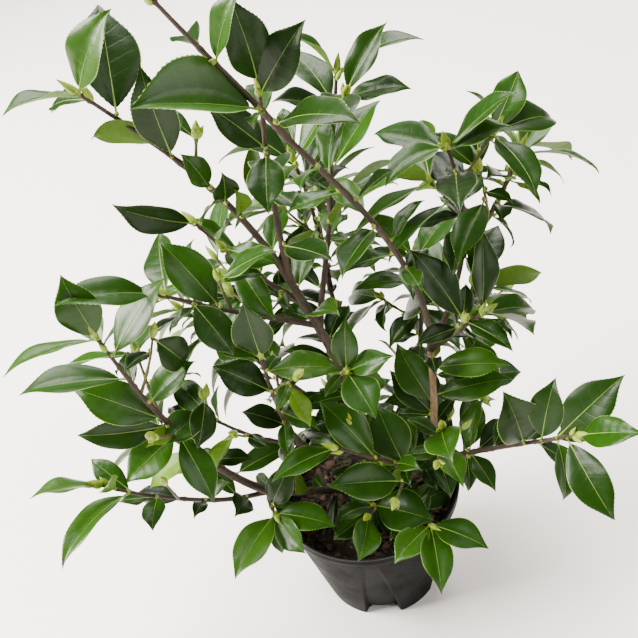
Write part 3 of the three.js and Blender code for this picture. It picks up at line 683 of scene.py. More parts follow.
# The leaves that stand out, under the bough or mass that carries them.
LEAF_PLANS = {
    "foliage_upper_left": (
        LeafPlan(60, 38, FRESH, LEFT, base=(79, 94), tip=(109, 8), width=0.52, fold=20, curl=0.7),
        LeafPlan(
            76, 8, DEEP, RIGHT, base=(118, 119), tip=(98, 2), width=0.58, fold=12, curl=0.35,
            tip_near=False,
        ),
        LeafPlan(56, 78, base=(82, 97), tip=(1, 113), width=0.42, fold=26, curl=0.45),
        LeafPlan(46, 140, FRESH, base=(147, 157), tip=(88, 136), width=0.5, fold=16, curl=1.2),
        LeafPlan(66, 15, DEEP, LEFT, base=(169, 163), tip=(139, 66), fold=14, curl=0.5, seat=24),
        LeafPlan(34, 20, FULL, RIGHT, base=(208, 189), tip=(182, 154), width=0.6),
        LeafPlan(30, 20, DEEP, RIGHT, base=(222, 203), tip=(223, 174), width=0.7),
        LeafPlan(28, 40, YOUNG, RIGHT, base=(238, 217), tip=(236, 190), width=0.7, fold=30),
    ),
    "foliage_left_high_back": (
        LeafPlan(64, 35, DEEP, Way.DOWN, base=(196, 224), tip=(112, 207), fold=16, curl=0.4),
    ),
    "foliage_leader": (
        LeafPlan(76, 46, FRESH, base=(255, 113), tip=(130, 106), width=0.74, fold=40, curl=0.35),
        LeafPlan(46, 50, FRESH, LEFT, base=(222, 60), tip=(240, -14), fold=20),
    ),
    "foliage_upper_middle": (
        LeafPlan(52, 12, DEEP, base=(262, 150), tip=(205, 104)),
        LeafPlan(62, 14, DEEP, RIGHT, base=(258, 84), tip=(229, -4), width=0.5),
        LeafPlan(60, 14, DEEP, LEFT, base=(263, 95), tip=(304, 20), width=0.5),
        LeafPlan(44, 12, DEEP, LEFT, base=(267, 152), tip=(268, 213), width=0.62),
    ),
    "foliage_left": (
        LeafPlan(
            68, 40, FRESH, LEFT, base=(113, 357), tip=(163, 277), width=0.5, fold=10, curl=0.4, seat=20,
        ),
        LeafPlan(66, 72, FRESH, base=(94, 340), tip=(1, 373), width=0.38, fold=22, curl=0.35),
        LeafPlan(74, 52, base=(122, 385), tip=(18, 393), fold=22, curl=0.4),
        LeafPlan(72, 10, base=(163, 422), tip=(71, 388), width=0.5, fold=10, curl=0.4),
        LeafPlan(54, 12, FULL, LEFT, base=(94, 340), tip=(60, 276), width=0.6, curl=0.5),
        LeafPlan(50, 34, FRESH, base=(150, 404), tip=(194, 360), width=0.6, fold=20),
        LeafPlan(32, 20, YOUNG, base=(176, 428), tip=(147, 446)),
        LeafPlan(48, 24, FRESH, LEFT, base=(167, 446), tip=(125, 483), width=0.64, curl=0.4),
        LeafPlan(56, 10, FULL, RIGHT, base=(178, 433), tip=(215, 502)),
        LeafPlan(42, 10, DEEP, base=(152, 338), tip=(187, 364), twig=5, width=0.7, tip_near=False),
        LeafPlan(42, 14, DEEP, RIGHT, base=(205, 399), tip=(198, 449), twig=2, width=0.6),
        LeafPlan(44, 28, base=(203, 412), tip=(163, 445), twig=2, width=0.74),
        LeafPlan(70, 20, DEEP, Way.DOWN, base=(166, 428), tip=(76, 436), width=0.4, tip_near=False),
    ),
    "foliage_left_high": (
        LeafPlan(74, 45, base=(157, 295), tip=(54, 303), fold=18, curl=0.5),
        LeafPlan(64, 10, FULL, RIGHT, base=(221, 307), tip=(159, 241), width=0.52),
        LeafPlan(50, 10, DEEP, RIGHT, base=(192, 302), tip=(235, 356), width=0.6),
    ),
    "foliage_left_low": (
        LeafPlan(58, 60, FRESH, base=(101, 485), tip=(30, 496), width=0.46, fold=18, curl=0.4),
        LeafPlan(80, 50, FRESH, LEFT, base=(132, 490), tip=(60, 568), width=0.36, fold=26, curl=0.9),
        LeafPlan(36, 24, FULL, LEFT, base=(158, 497), tip=(152, 530), width=0.6, seat=22),
        LeafPlan(30, 20, DEEP, LEFT, base=(206, 499), tip=(194, 517)),
        LeafPlan(34, 10, DEEP, RIGHT, base=(246, 495), tip=(236, 515), width=0.72),
    ),
    "foliage_right_low": (
        LeafPlan(56, 18, DEEP, RIGHT, base=(524, 447), tip=(504, 392), width=0.78, fold=26),
        LeafPlan(54, 14, DEEP, LEFT, base=(542, 440), tip=(555, 378), width=0.54, seat=20),
        LeafPlan(72, 10, DEEP, base=(556, 438), tip=(624, 375), fold=12, curl=0.4),
        LeafPlan(54, 20, base=(577, 435), tip=(642, 432), curl=0.4),
        LeafPlan(64, 10, DEEP, LEFT, base=(567, 437), tip=(615, 522), curl=0.6, seat=24),
        LeafPlan(42, 14, FULL, RIGHT, base=(470, 452), tip=(496, 491), seat=24),
        LeafPlan(46, 46, FRESH, LEFT, base=(470, 450), tip=(482, 398), width=0.56, fold=26),
    ),
    "bough_right": (
        LeafPlan(62, 30, FRESH, base=(432, 368), tip=(511, 364), curl=0.5),
        LeafPlan(66, 25, FRESH, base=(433, 396), tip=(514, 378), curl=0.5),
        LeafPlan(52, 8, DEEP, LEFT, base=(433, 414), tip=(389, 370)),
        LeafPlan(60, 12, FULL, LEFT, base=(433, 404), tip=(396, 343), width=0.52),
    ),
    "foliage_rim_left": (
        LeafPlan(66, 26, FRESH, LEFT, base=(275, 514), tip=(234, 578), width=0.5, curl=0.5),
        LeafPlan(46, 26, FRESH, LEFT, base=(275, 514), tip=(305, 554), width=0.56, curl=0.5),
        LeafPlan(56, 26, FRESH, base=(275, 513), tip=(336, 526), width=0.54),
    ),
    "foliage_rim_front": (
        LeafPlan(44, 24, FRESH, RIGHT, base=(368, 515), tip=(359, 561), width=0.64, fold=20),
        LeafPlan(58, 14, base=(376, 506), tip=(434, 520), width=0.72),
        LeafPlan(44, 40, base=(374, 508), tip=(335, 522), curl=1.0),
    ),
    "foliage_rim_right": (
        LeafPlan(48, 22, FRESH, LEFT, base=(431, 525), tip=(394, 563), width=0.58),
        LeafPlan(62, 10, FULL, RIGHT, base=(431, 525), tip=(442, 594)),
        LeafPlan(56, 26, base=(431, 525), tip=(489, 548), width=0.54),
    ),
    "foliage_inner_left": (
        LeafPlan(60, 30, FRESH, base=(266, 372), tip=(343, 369), curl=0.8),
        LeafPlan(60, 10, DEEP, LEFT, base=(261, 358), tip=(243, 303), width=0.55, curl=0.3),
        LeafPlan(50, 35, base=(261, 358), tip=(198, 338)),
        LeafPlan(52, 12, DEEP, base=(272, 392), tip=(212, 366), width=0.6),
        LeafPlan(40, 20, DEEP, base=(287, 426), tip=(241, 411), width=0.6),
    ),
    "foliage_middle": (
        LeafPlan(48, 10, FULL, LEFT, base=(347, 372), tip=(345, 318)),
        LeafPlan(44, 20, base=(347, 372), tip=(393, 355)),
        LeafPlan(46, 10, FULL, RIGHT, base=(347, 372), tip=(376, 418), width=0.68),
    ),
    "foliage_front": (
        LeafPlan(64, 16, base=(376, 459), tip=(319, 400), width=0.52),
        LeafPlan(66, 14, base=(403, 481), tip=(328, 486), twig=1, width=0.52),
        LeafPlan(60, 38, base=(337, 448), tip=(271, 481), width=0.44),
        LeafPlan(56, 10, FULL, LEFT, base=(404, 464), tip=(376, 404), width=0.7),
    ),
    "foliage_right_front": (
        LeafPlan(54, 12, FULL, LEFT, base=(441, 430), tip=(451, 460), width=0.62),
    ),
}


@dataclass(frozen=True, kw_only=True)
class Opening:
    """A gap in the crown where the photograph shows the wall, in pixels of its frame."""

    middle: Pixel
    radius: float


OPENINGS = (
    Opening(middle=(150, 185), radius=22),
    Opening(middle=(205, 134), radius=18),
    Opening(middle=(204, 160), radius=12),
    Opening(middle=(104, 245), radius=26),
    Opening(middle=(150, 262), radius=10),
    Opening(middle=(312, 381), radius=11),
    Opening(middle=(243, 526), radius=13),
    Opening(middle=(124, 518), radius=14),
    Opening(middle=(180, 528), radius=15),
    Opening(middle=(216, 528), radius=12),
    Opening(middle=(512, 498), radius=24),
    Opening(middle=(536, 470), radius=24),
)


@dataclass(frozen=True)
class PotSizes:
    """The pot and the growing mix in it, in millimetres."""

    rim_radius: float = 85.0
    foot_radius: float = 57.0
    height: float = 130.0
    wall: float = 1.8
    floor: float = 3.0
    collar_height: float = 11.0
    collar_step: float = 1.6
    panels: int = 5
    first_panel: float = -8.0
    panel_top: float = 116.0
    panel_depth: float = 7.0
    panel_half_angle: float = 15.0
    arch_height: float = 9.0
    soil_top: float = 106.0
    soil_drop: float = 4.0
    soil_crown: float = 40.0
    trunk_x: float = 2.0
    trunk_gap: float = 0.3

    def radius(self, z: Array) -> Array:
        """Return the wall's radius at a height, before its panels."""
        return self.foot_radius + (self.rim_radius - self.foot_radius) * z / self.height


@dataclass(frozen=True)
class LeafSizes:
    """The leaf of this plant. Widths are shares of a leaf's length."""

    petiole: float = 0.085
    least_width: float = 0.44
    width_range: float = 0.06
    least_length: float = 0.84
    length_range: float = 0.3
    cut_back: float = 0.82
    least_fold: float = 10.0
    fold_range: float = 16.0
    least_curl: float = 0.25
    curl_range: float = 0.75
    belly: float = 0.92
    fullness: float = 0.8
    taper: float = 0.3


@dataclass(frozen=True)
class Stance:
    """How a leaf leaves its shoot, how far each new try may turn, and where leaves crowd."""

    open: float = 64.0
    closing: float = 22.0
    sway: float = 0.22
    turn: float = 0.35
    widen: float = 0.22
    flatten: float = 0.45
    droop_range: float = 0.12
    facing: float = 0.6
    forward: float = 0.12
    sunk: float = 0.4
    tries: int = 7
    full: int = 4
    last: float = 0.94
    crowd_from: float = 0.9595
    crowd_step: float = 0.015
    crowd: int = 3


@dataclass(frozen=True)
class TwigSizes:
    """Where side twigs stand, how they lean, how long they are, and their buds."""

    first: float = 0.22
    spread: float = 0.55
    lean: float = 48.0
    lean_range: float = 0.2
    turn_range: float = 0.5
    flatten: float = 0.75
    rise: float = 0.18
    shortest: float = 0.62
    length_range: float = 0.35
    girth: float = 0.72
    sunk: float = 0.3
    tip: float = 0.75
    stem_tip: float = 0.9
    pull: float = 0.4
    bare: float = 0.34
    tries: int = 6
    least_bud: float = 9.0
    bud_range: float = 4.0
    bud_girth: Pair = (2.6, 1.2)
    bud_pull: float = 0.3


@dataclass(frozen=True)
class Clearance:
    """How far leaves, limbs and the pot keep from each other, in millimetres.

    Up to the petiole's share of its length a leaf may touch. The last two are how far beyond
    its own half length a leaf looks.
    """

    leaf: float = 3.2
    petiole: float = 0.14
    margin: float = 1.5
    limb: float = 1.8
    twig: float = 4.0
    pot: float = 3.0
    rim: float = 4.0
    blade: float = 30.0
    leaves: float = 42.0


@dataclass(frozen=True)
class SecondFlush:
    """The smaller leaves that grow in between the first ones, also on the boughs."""

    bough_step: float = 13.0
    bough_from: float = 0.28
    bough_seed: int = 50
    twig_from: float = 0.1
    last: float = 0.97
    least: float = 0.5
    range: float = 0.34
    tries: int = 8


POT = PotSizes()
LEAF = LeafSizes()
FLUSH = SecondFlush()
STANCE = Stance()
TWIG = TwigSizes()
CLEAR = Clearance()


class Chance:
    """A repeatable stream of chance, the same as the part's source has."""

    PRIME = 2147483647
    FACTOR = 48271

    def __init__(self, seed: int) -> None:
        """Start the stream of a seed."""
        self.state = (seed * 7919 + 12345) % self.PRIME
        self.next()

    def next(self) -> float:
        """Return the next number in [0, 1)."""
        self.state = self.state * self.FACTOR % self.PRIME
        return self.state / self.PRIME

    def spread(self, width: float) -> float:
        """Return the next number between minus and plus a width."""
        return (self.next() * 2 - 1) * width


def held(shares: Array) -> Array:
    """Return shares held between 0 and 1."""
    return np.clip(shares, 0, 1)


def unit(vector: Array) -> Array:
    """Return a vector's direction."""
    return vector / sqrt(float(vector @ vector))


def square(vector: Array, course: Array) -> Array:
    """Return the direction of a vector's part that is square to a course."""
    return unit(vector - course * float(vector @ course))


def spot(place: Triple) -> Array:
    """Return the point at a bearing, a reach from the pot's axis and a height."""
    angle = radians(place[0])
    return np.array([place[1] * sin(angle), -place[1] * cos(angle), place[2]])


def heading(go: Pair) -> Array:
    """Return the unit vector of a bearing and a rise."""
    angle = radians(go[0])
    rise = radians(go[1])
    level = cos(rise)
    return np.array([sin(angle) * level, -cos(angle) * level, sin(rise)])


def cross_of(course: Array) -> tuple[Array, Array]:
    """Return a sideways and an upward direction square to a course."""
    side = np.cross(course, UP)
    if float(side @ side) < 1e-4:
        side = np.array([1.0, 0.0, 0.0])
    side = unit(side)
    return side, unit(np.cross(side, course))


def half_width(u: Array) -> Array:
    """Return a leaf's half width over its greatest half width.

    Args:
        u: Shares of the leaf's length, from the twig (0) to the tip (1).

    Returns:
        Shares from 0 to 1.
    """
    b = held((u - LEAF.petiole) / (1 - LEAF.petiole))
    late = np.maximum(0.0, (b - 0.62) / 0.38)
    swell = np.maximum(0.0, np.sin(pi * b**LEAF.belly)) ** LEAF.fullness
    return swell * (1 - LEAF.taper * late**1.4)


@dataclass(eq=False)
class Limb:
    """A tapering limb on one cubic curve, also held as a row of straight stretches.

    It sets out along its aim, which it holds for its pull, a share of its span. Its girth is
    its radius at the foot and at the tip.
    """

    foot: Array
    tip: Array
    aim: Array
    girth: Pair
    pull: float

    LENGTH_STEPS = 12
    STRETCHES = 10
    TIP_PULL = 0.4

    def __post_init__(self) -> None:
        """Lay the curve."""
        out = self.foot + self.aim * (dist(self.foot, self.tip) * self.pull)
        self.pegs = (self.foot, out, self.tip - (self.tip - out) * self.TIP_PULL, self.tip)
        points = [self.at(i / self.LENGTH_STEPS) for i in range(self.LENGTH_STEPS + 1)]
        self.length = sum(dist(a, b) for a, b in zip(points, points[1:]))
        stretch = np.array([self.at(i / self.STRETCHES) for i in range(self.STRETCHES + 1)])
        self.stretches = (stretch[:-1], stretch[1:])
        self.radii = np.array([self.radius((i + 0.5) / self.STRETCHES) for i in range(self.STRETCHES)])

    def at(self, t: float) -> Array:
        """Return the point at a share of the curve."""
        a, b, c, d = self.pegs
        m = 1 - t
        return a * m**3 + b * (3 * m * m * t) + c * (3 * m * t * t) + d * t**3

    def along(self, t: float) -> Array:
        """Return the course at a share of the curve."""
        a, b, c, d = self.pegs
        m = 1 - t
        return unit((b - a) * (m * m) + (c - b) * (2 * m * t) + (d - c) * (t * t))

    def radius(self, t: float) -> float:
        """Return the radius at a share of the curve."""
        return self.girth[0] + (self.girth[1] - self.girth[0]) * t


@dataclass(eq=False)
class Leaf:
    """A leaf folded along its midrib, which curls away from its face on one arc.

    It sets out from its base along its aim. Its fold, which raises each half, and its curl,
    the whole bend of its midrib, are in radians.
    """

    base: Array
    aim: Array
    face: Array
    length: float
    width: float
    fold: float
    curl: float
    outer: float = 0.0
    age: Age | None = None

    LEVELS = np.array([0.16, 0.26, 0.36, 0.46, 0.56, 0.66, 0.76, 0.86, 0.94, 1.0])
    PROBE_U = np.repeat(LEVELS, 5)
    PROBE_V = np.tile(np.array([-1.0, -0.5, 0.0, 0.5, 1.0]), 10) * half_width(PROBE_U)

    def __post_init__(self) -> None:
        """Square the face to the aim, and place the points that tests use."""
        self.aim = unit(self.aim)
        self.face = square(self.face, self.aim)
        self.side = np.cross(self.aim, self.face)
        self.probes = self.place(self.PROBE_U, self.PROBE_V * (self.width / 2), 0.0)
        self.middle = self.probes.mean(axis=0)

    def place(self, u: Array, s: Array, h: float | Array) -> Array:
        """Return points of the leaf.

        Args:
            u: Shares along the midrib.
            s: Millimetres across, to either side.
            h: Millimetres off the face.

        Returns:
            One point a row.
        """
        arc = self.length / self.curl
        bend = self.curl * u
        lift = np.abs(s) * sin(self.fold) + h
        ahead = arc * np.sin(bend) + np.sin(bend) * lift
        above = arc * (np.cos(bend) - 1) + np.cos(bend) * lift
        across = s * cos(self.fold)
        offset = np.outer(ahead, self.aim) + np.outer(above, self.face) + np.outer(across, self.side)
        return self.base + offset


@dataclass
class Stack:
    """Leaves as arrays, for testing points against many at once."""

    base: Array
    aim: Array
    face: Array
    side: Array
    length: Array
    width: Array
    fold: Array
    curl: Array

    @classmethod
    def of(cls, leaves: Sequence[Leaf]) -> "Stack":
        """Stack some leaves."""
        return cls(*(np.array([getattr(leaf, part.name) for leaf in leaves]) for part in fields(cls)))

    def meets(self, points: Array) -> bool:
        """Return whether any point lies too near the blade of any leaf."""
        away = points[:, None, :] - self.base[None]
        arc = self.length / self.curl
        x = (away * self.aim).sum(-1)
        y = (away * self.face).sum(-1) + arc
        s = np.abs((away * self.side).sum(-1))
        u = np.arctan2(x, y) / self.curl
        off = np.abs(np.sqrt(x * x + y * y) - arc - s * np.tan(self.fold))
        within = (u > CLEAR.petiole) & (u < 1 + CLEAR.margin / self.length)
        beside = s < half_width(u) * self.width / 2 + CLEAR.margin
        return bool((within & beside & (off < CLEAR.leaf)).any())


@dataclass(frozen=True)
class View:
    """The photograph's view, in millimetres, degrees and pixels."""

    eye: Triple = (0.0, -467.0, 681.0)
    yaw: float = -1.35
    pitch: float = -37.48
    roll: float = -12.07
    focal: float = 770.0
    frame: float = 638.0

    def axes(self) -> tuple[Array, Array, Array]:
        """Return the directions ahead, to the right and up."""
        ahead = heading((180.0 - self.yaw, self.pitch))
        level = unit(np.cross(ahead, UP))
        above = np.cross(level, ahead)
        roll = radians(self.roll)
        right = level * cos(roll) + above * sin(roll)
        return ahead, right, above * cos(roll) - level * sin(roll)

    def picture(self, points: Array) -> tuple[Array, Array]:
        """Return where points show, in pixels, and how far ahead they are."""
        ahead, right, up = self.axes()
        away = points - np.array(self.eye)
        depth = away @ ahead
        shown = np.stack([away @ right, -(away @ up)], axis=-1) / depth[..., None]
        return self.frame / 2 + self.focal * shown, depth

    def ray(self, pixel: Pixel) -> Array:
        """Return the direction in which a pixel looks."""
        ahead, right, up = self.axes()
        x, y = ((part - self.frame / 2) / self.focal for part in pixel)
        return unit(ahead + right * x - up * y)

    def nearest(self, limb: Limb, pixel: Pixel) -> Array:
        """Return the point of a limb that shows nearest to a pixel."""
        line = np.array([limb.at(t) for t in np.linspace(0, 1, 101)])
        gaps = np.linalg.norm(self.picture(line)[0] - np.array(pixel), axis=1)
        return line[int(np.argmin(gaps))]

    def leaf(self, plan: LeafPlan, limb: Limb) -> Leaf:
        """Set a leaf so that it shows as planned.

        Args:
            plan: The leaf's plan.
            limb: The limb that carries it.

        Returns:
            The leaf, whose tip lies on the tip's line of sight.
        """
        base = self.nearest(limb, plan.base)
        eye = np.array(self.eye)
        ray = self.ray(plan.tip)
        chord = plan.length * 2 / plan.curl * sin(plan.curl / 2)
        abreast = float((base - eye) @ ray)
        spare = chord**2 - float((base - eye) @ (base - eye)) + abreast**2
        ahead = sqrt(max(0.0, spare))
        tip = eye + ray * (abreast - ahead if plan.tip_near else abreast + ahead)
        length = plan.length * dist(tip, base) / chord
        run = unit(tip - base)
        toward = square(eye - (tip + base) / 2, run)
        beside = np.cross(run, toward)
        _, right, up = self.axes()
        way = right * plan.way.value[0] + up * plan.way.value[1]
        turn = copysign(radians(plan.turn), float(beside @ way))
        face = toward * cos(turn) + beside * sin(turn)
        aim = run * cos(plan.curl / 2) + face * sin(plan.curl / 2)
        width = length * plan.width
        return Leaf(base, aim, face, length, width, radians(plan.fold), plan.curl, age=plan.age)


VIEW = View()


class Sight:
    """What the view shows of the set leaves, which grown leaves may not hide.

    Points within its reach, in pixels, show as one. At most a share of a leaf may be hidden.
    """

    REACH = 6.0
    MOST = 0.14

    def __init__(self, leaves: Sequence[Leaf]) -> None:
        """Keep where the leaves' points and the openings show."""
        self.gaps = np.array([opening.middle for opening in OPENINGS])
        self.radii = np.array([opening.radius for opening in OPENINGS])
        self.shown, self.depth = VIEW.picture(np.vstack([leaf.probes for leaf in leaves]))

    def hides(self, leaf: Leaf) -> bool:
        """Return whether a leaf fills an opening or hides too much of a set leaf."""
        shown, depth = VIEW.picture(leaf.probes)
        away = np.linalg.norm(self.gaps[:, None] - shown[None], axis=-1)
        if (away < self.radii[:, None]).mean(axis=1).max() > self.MOST:
            return True
        near = np.linalg.norm(self.shown[:, None] - shown[None], axis=-1) < self.REACH
        before = depth[None] < self.depth[:, None]
        hidden = (near & before).any(axis=1).reshape(-1, len(shown)).mean(axis=1)
        return bool(hidden.max() > self.MOST)


class Space:
    """What has grown so far, and whether the next piece stands clear of it."""

    def __init__(self) -> None:
        """Start with nothing grown."""
        self.limbs: list[Limb] = []
        self.leaves: list[Leaf] = []
        self._seen = (-1, -1)

    def _refresh(self) -> None:
        """Bring the arrays up to what has grown."""
        if self._seen == (len(self.limbs), len(self.leaves)):
            return
        self._seen = (len(self.limbs), len(self.leaves))
        self.starts = np.concatenate([limb.stretches[0] for limb in self.limbs])
        self.ends = np.concatenate([limb.stretches[1] for limb in self.limbs])
        self.radii = np.concatenate([limb.radii for limb in self.limbs])
        if self.leaves:
            self.middles = np.array([leaf.middle for leaf in self.leaves])

    @staticmethod
    def _gaps(points: Array, starts: Array, ends: Array) -> Array:
        """Return the distance from each point to each stretch."""
        run = ends - starts
        share = ((points[:, None] - starts) * run).sum(-1) / (run * run).sum(-1)
        nearest = starts + held(share)[..., None] * run
        return np.sqrt(((points[:, None] - nearest) ** 2).sum(-1))

    def twig_fits(self, twig: Limb) -> bool:
        """Return whether a twig stands clear of every limb and leaf."""
        self._refresh()
        points = np.array([twig.at(0.2 + 0.1 * i) for i in range(9)])
        if (self._gaps(points, self.starts, self.ends) - self.radii).min() <= CLEAR.twig:
            return False
        return not (self.leaves and Stack.of(self.leaves).meets(points))

    def leaf_fits(self, leaf: Leaf) -> bool:
        """Return whether a leaf stands clear of the pot, every limb and every leaf."""
        self._refresh()
        return self._clear_of_pot(leaf) and self._clear_of_limbs(leaf) and self._clear_of_leaves(leaf)

    def give_way(self, leaf: Leaf, seat: float) -> list[Leaf]:
        """Take out and return the leaves that touch a leaf or stand on its seat."""
        lone = Stack.of([leaf])
        return self._take_out(
            lambda other: dist(other.base, leaf.base) < seat
            or lone.meets(other.probes)
            or Stack.of([other]).meets(leaf.probes)
        )

    def clear_view(self, leaves: Sequence[Leaf]) -> list[Leaf]:
        """Take out the grown leaves that hide a set leaf, and return them."""
        self.sight = Sight(leaves)
        return self._take_out(self.sight.hides)

    def _take_out(self, test: Callable[[Leaf], bool]) -> list[Leaf]:
        """Take out and return the grown leaves that a test picks."""
        gone = [leaf for leaf in self.leaves if leaf.age is None and test(leaf)]
        self.leaves = [leaf for leaf in self.leaves if leaf not in gone]
        self._seen = (-1, -1)
        return gone

    def late_leaf_fits(self, leaf: Leaf) -> bool:
        """Return whether a leaf fits, inside the solids' box and hiding no set leaf."""
        inside = ((leaf.probes > SOLIDS[0]) & (leaf.probes < SOLIDS[1])).all()
        return bool(inside) and self.leaf_fits(leaf) and not self.sight.hides(leaf)

    @staticmethod
    def _clear_of_pot(leaf: Leaf) -> bool:
        """Return whether a leaf stands clear of the pot and the mix."""
        z = leaf.probes[:, 2]
        reach = np.hypot(leaf.probes[:, 0], leaf.probes[:, 1])
        wall = POT.radius(np.clip(z, 0, POT.height)) + CLEAR.pot
        over = z >= POT.height + CLEAR.rim
        inside = (z >= POT.soil_top + CLEAR.pot) & (reach <= wall - 2 * CLEAR.pot - POT.wall)
        return bool((over | (reach >= wall) | inside).all())

    def _clear_of_limbs(self, leaf: Leaf) -> bool:
        """Return whether a leaf stands clear of every limb."""
        sight = (leaf.length * 0.5 + CLEAR.blade) ** 2
        near = ((self.starts - leaf.middle) ** 2).sum(-1) < sight
        if not near.any():
            return True
        starts = self.starts[near]
        ends = self.ends[near]
        gaps = self._gaps(leaf.probes, starts, ends) - self.radii[near]
        if gaps.min() < CLEAR.limb:
            return False
        return not Stack.of([leaf]).meets(np.vstack([starts, (starts + ends) / 2]))

    def _clear_of_leaves(self, leaf: Leaf) -> bool:
        """Return whether a leaf stands clear of every other leaf."""
        if not self.leaves:
            return True
        sight = (leaf.length * 0.5 + CLEAR.leaves) ** 2
        near = np.nonzero(((self.middles - leaf.middle) ** 2).sum(-1) < sight)[0]
        if not len(near):
            return True
        others = [self.leaves[i] for i in near]
        if Stack.of(others).meets(leaf.probes):
            return False
        return not Stack.of([leaf]).meets(np.vstack([other.probes for other in others]))


@dataclass
class Shoot:
    """A leafy stem or side twig with its bud."""

    limb: Limb
    leader: bool
    bud: Limb | None = None
    nodes: list[float] = field(default_factory=list)


class Mass:
    """One mass of foliage, grown by the source's rule."""

    def __init__(self, plan: MassPlan, stem: Limb) -> None:
        """Start with the bare stem."""
        self.plan = plan
        self.shoots = [Shoot(stem, True)]
        self.leaves: list[Leaf] = []

    def grow(self, space: Space) -> None:
        """Grow the twigs, the buds and the leaves."""
        chance = Chance(self.plan.seed)
        self._branch(space, chance)
        self._bud(space, chance)
        self._leaf(space, chance)

    def _branch(self, space: Space, chance: Chance) -> None:
        """Grow the side twigs, one after another round the stem."""
        plan = self.plan
        stem = self.shoots[0].limb
        start = chance.spread(pi)
        for i in range(plan.twigs):
            t = TWIG.first + TWIG.spread * (i + 0.5) / plan.twigs
            course = stem.along(t)
            side, rise = cross_of(course)
            for _ in range(TWIG.tries):
                turn = start + i * TURN + chance.spread(TWIG.turn_range)
                lean = radians(TWIG.lean) + chance.spread(TWIG.lean_range)
                spoke = side * cos(turn) + rise * (sin(turn) * TWIG.flatten + TWIG.rise)
                spoke = square(spoke, course)
                aim = course * cos(lean) + spoke * sin(lean)
                length = plan.twig * (TWIG.shortest + TWIG.length_range * chance.next())
                foot = stem.at(t) + spoke * (stem.radius(t) * TWIG.sunk)
                tip = foot + unit(aim + UP * TWIG.rise) * length
                girth = (stem.radius(t) * TWIG.girth, TWIG.tip)
                twig = Limb(foot, tip, aim, girth, TWIG.pull)
                if space.twig_fits(twig):
                    self.shoots.append(Shoot(twig, False))
                    space.limbs.append(twig)
                    break

    def _bud(self, space: Space, chance: Chance) -> None:
        """Set a bud on each shoot's tip."""
        for shoot in self.shoots:
            size = TWIG.least_bud + TWIG.bud_range * chance.next()
            course = shoot.limb.along(1)
            foot = shoot.limb.at(1)
            shoot.bud = Limb(foot, foot + course * size, course, TWIG.bud_girth, TWIG.bud_pull)
            space.limbs.append(shoot.bud)

    def _leaf(self, space: Space, chance: Chance) -> None:
        """Set leaves round each shoot, skipping those that never fit."""
        for shoot in self.shoots:
            bare = self.plan.bare if shoot.leader else TWIG.bare
            count = max(1, int(shoot.limb.length * (1 - bare) / self.plan.step))
            nodes = [bare + (1 - bare) * STANCE.last * i / count for i in range(count)]
            nodes += [STANCE.crowd_from + STANCE.crowd_step * j for j in range(STANCE.crowd)]
            turn = chance.spread(pi)
            for t in nodes:
                turn += TURN
                tries = (
                    self._try_leaf(shoot.limb, t, turn, number, chance) for number in range(STANCE.tries)
                )
                if self._keep(space, tries, space.leaf_fits):
                    shoot.nodes.append(t)

    def _keep(self, space: Space, tries: Iterable[Leaf], fits: Callable[[Leaf], bool]) -> bool:
        """Keep the first try that fits, and return whether one did."""
        leaf = next(filter(fits, tries), None)
        if leaf is None:
            return False
        self.leaves.append(leaf)
        space.leaves.append(leaf)
        return True

    def fill(self, space: Space, limb: Limb, step: float, start: float, chance: Chance) -> list[float]:
        """Grow the second flush along a limb.

        Args:
            space: What has grown so far.
            limb: The limb.
            step: Millimetres from one try to the next.
            start: The limb's share where it starts.
            chance: The stream of chance.

        Returns:
            The limb's shares where the new leaves stand.
        """
        found = []
        turn = chance.spread(pi)
        count = max(1, int(limb.length * (1 - start) / step))
        for i in range(count):
            t = start + (FLUSH.last - start) * (i + chance.next()) / count
            turn += TURN
            tries = (
                self._try_leaf(limb, t, turn, number, chance, FLUSH.least + FLUSH.range * chance.next())
                for number in range(FLUSH.tries)
            )
            if self._keep(space, tries, space.late_leaf_fits):
                found.append(t)
        return found

    def _try_leaf(
        self, limb: Limb, t: float, turn: float, tries: int, chance: Chance, size: float = 1.0
    ) -> Leaf:
        """Return one try at a leaf, at a share of a shoot and a turn round it."""
        plan = self.plan
        course = limb.along(t)
        side, rise = cross_of(course)
        level = sqrt(max(0.0, 1 - float(course[2]) ** 2))
        outer = max(0.0, (t - 0.55) / 0.45)
        angle = turn + chance.spread(STANCE.turn + STANCE.widen * tries)
        opening = radians(STANCE.open - STANCE.closing * outer) + chance.spread(STANCE.sway)
        lift = sin(angle) * (1 - STANCE.flatten * level)
        spoke = unit(side * cos(angle) + rise * lift)
        droop = plan.droop + chance.spread(STANCE.droop_range)
        aim = unit(course * cos(opening) + spoke * sin(opening) - UP * droop)
        sky = plan.face * (STANCE.facing + level)
        face = course * sin(opening) - spoke * cos(opening) + UP * sky
        face[1] -= STANCE.forward
        share = LEAF.least_length + LEAF.length_range * chance.next()
        length = plan.leaf * size * share * (LEAF.cut_back if tries >= STANCE.full else 1.0)
        width = length * (LEAF.least_width + LEAF.width_range * chance.next())
        fold = radians(LEAF.least_fold + LEAF.fold_range * chance.next())
        curl = LEAF.least_curl + LEAF.curl_range * chance.next() ** 1.5
        base = limb.at(t) + spoke * (limb.radius(t) * STANCE.sunk)
        return Leaf(base, aim, face, length, width, fold, curl, outer)


def solids_box() -> tuple[Array, Array]:
    """Return the lowest and highest corner of the solids, in whole millimetres."""
    boxes = np.array([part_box(name) for name in frame["nodes"]]) / MILLIMETRE
    return np.round(boxes[:, 0].min(axis=0)), np.round(boxes[:, 1].max(axis=0))


SOLIDS = solids_box()


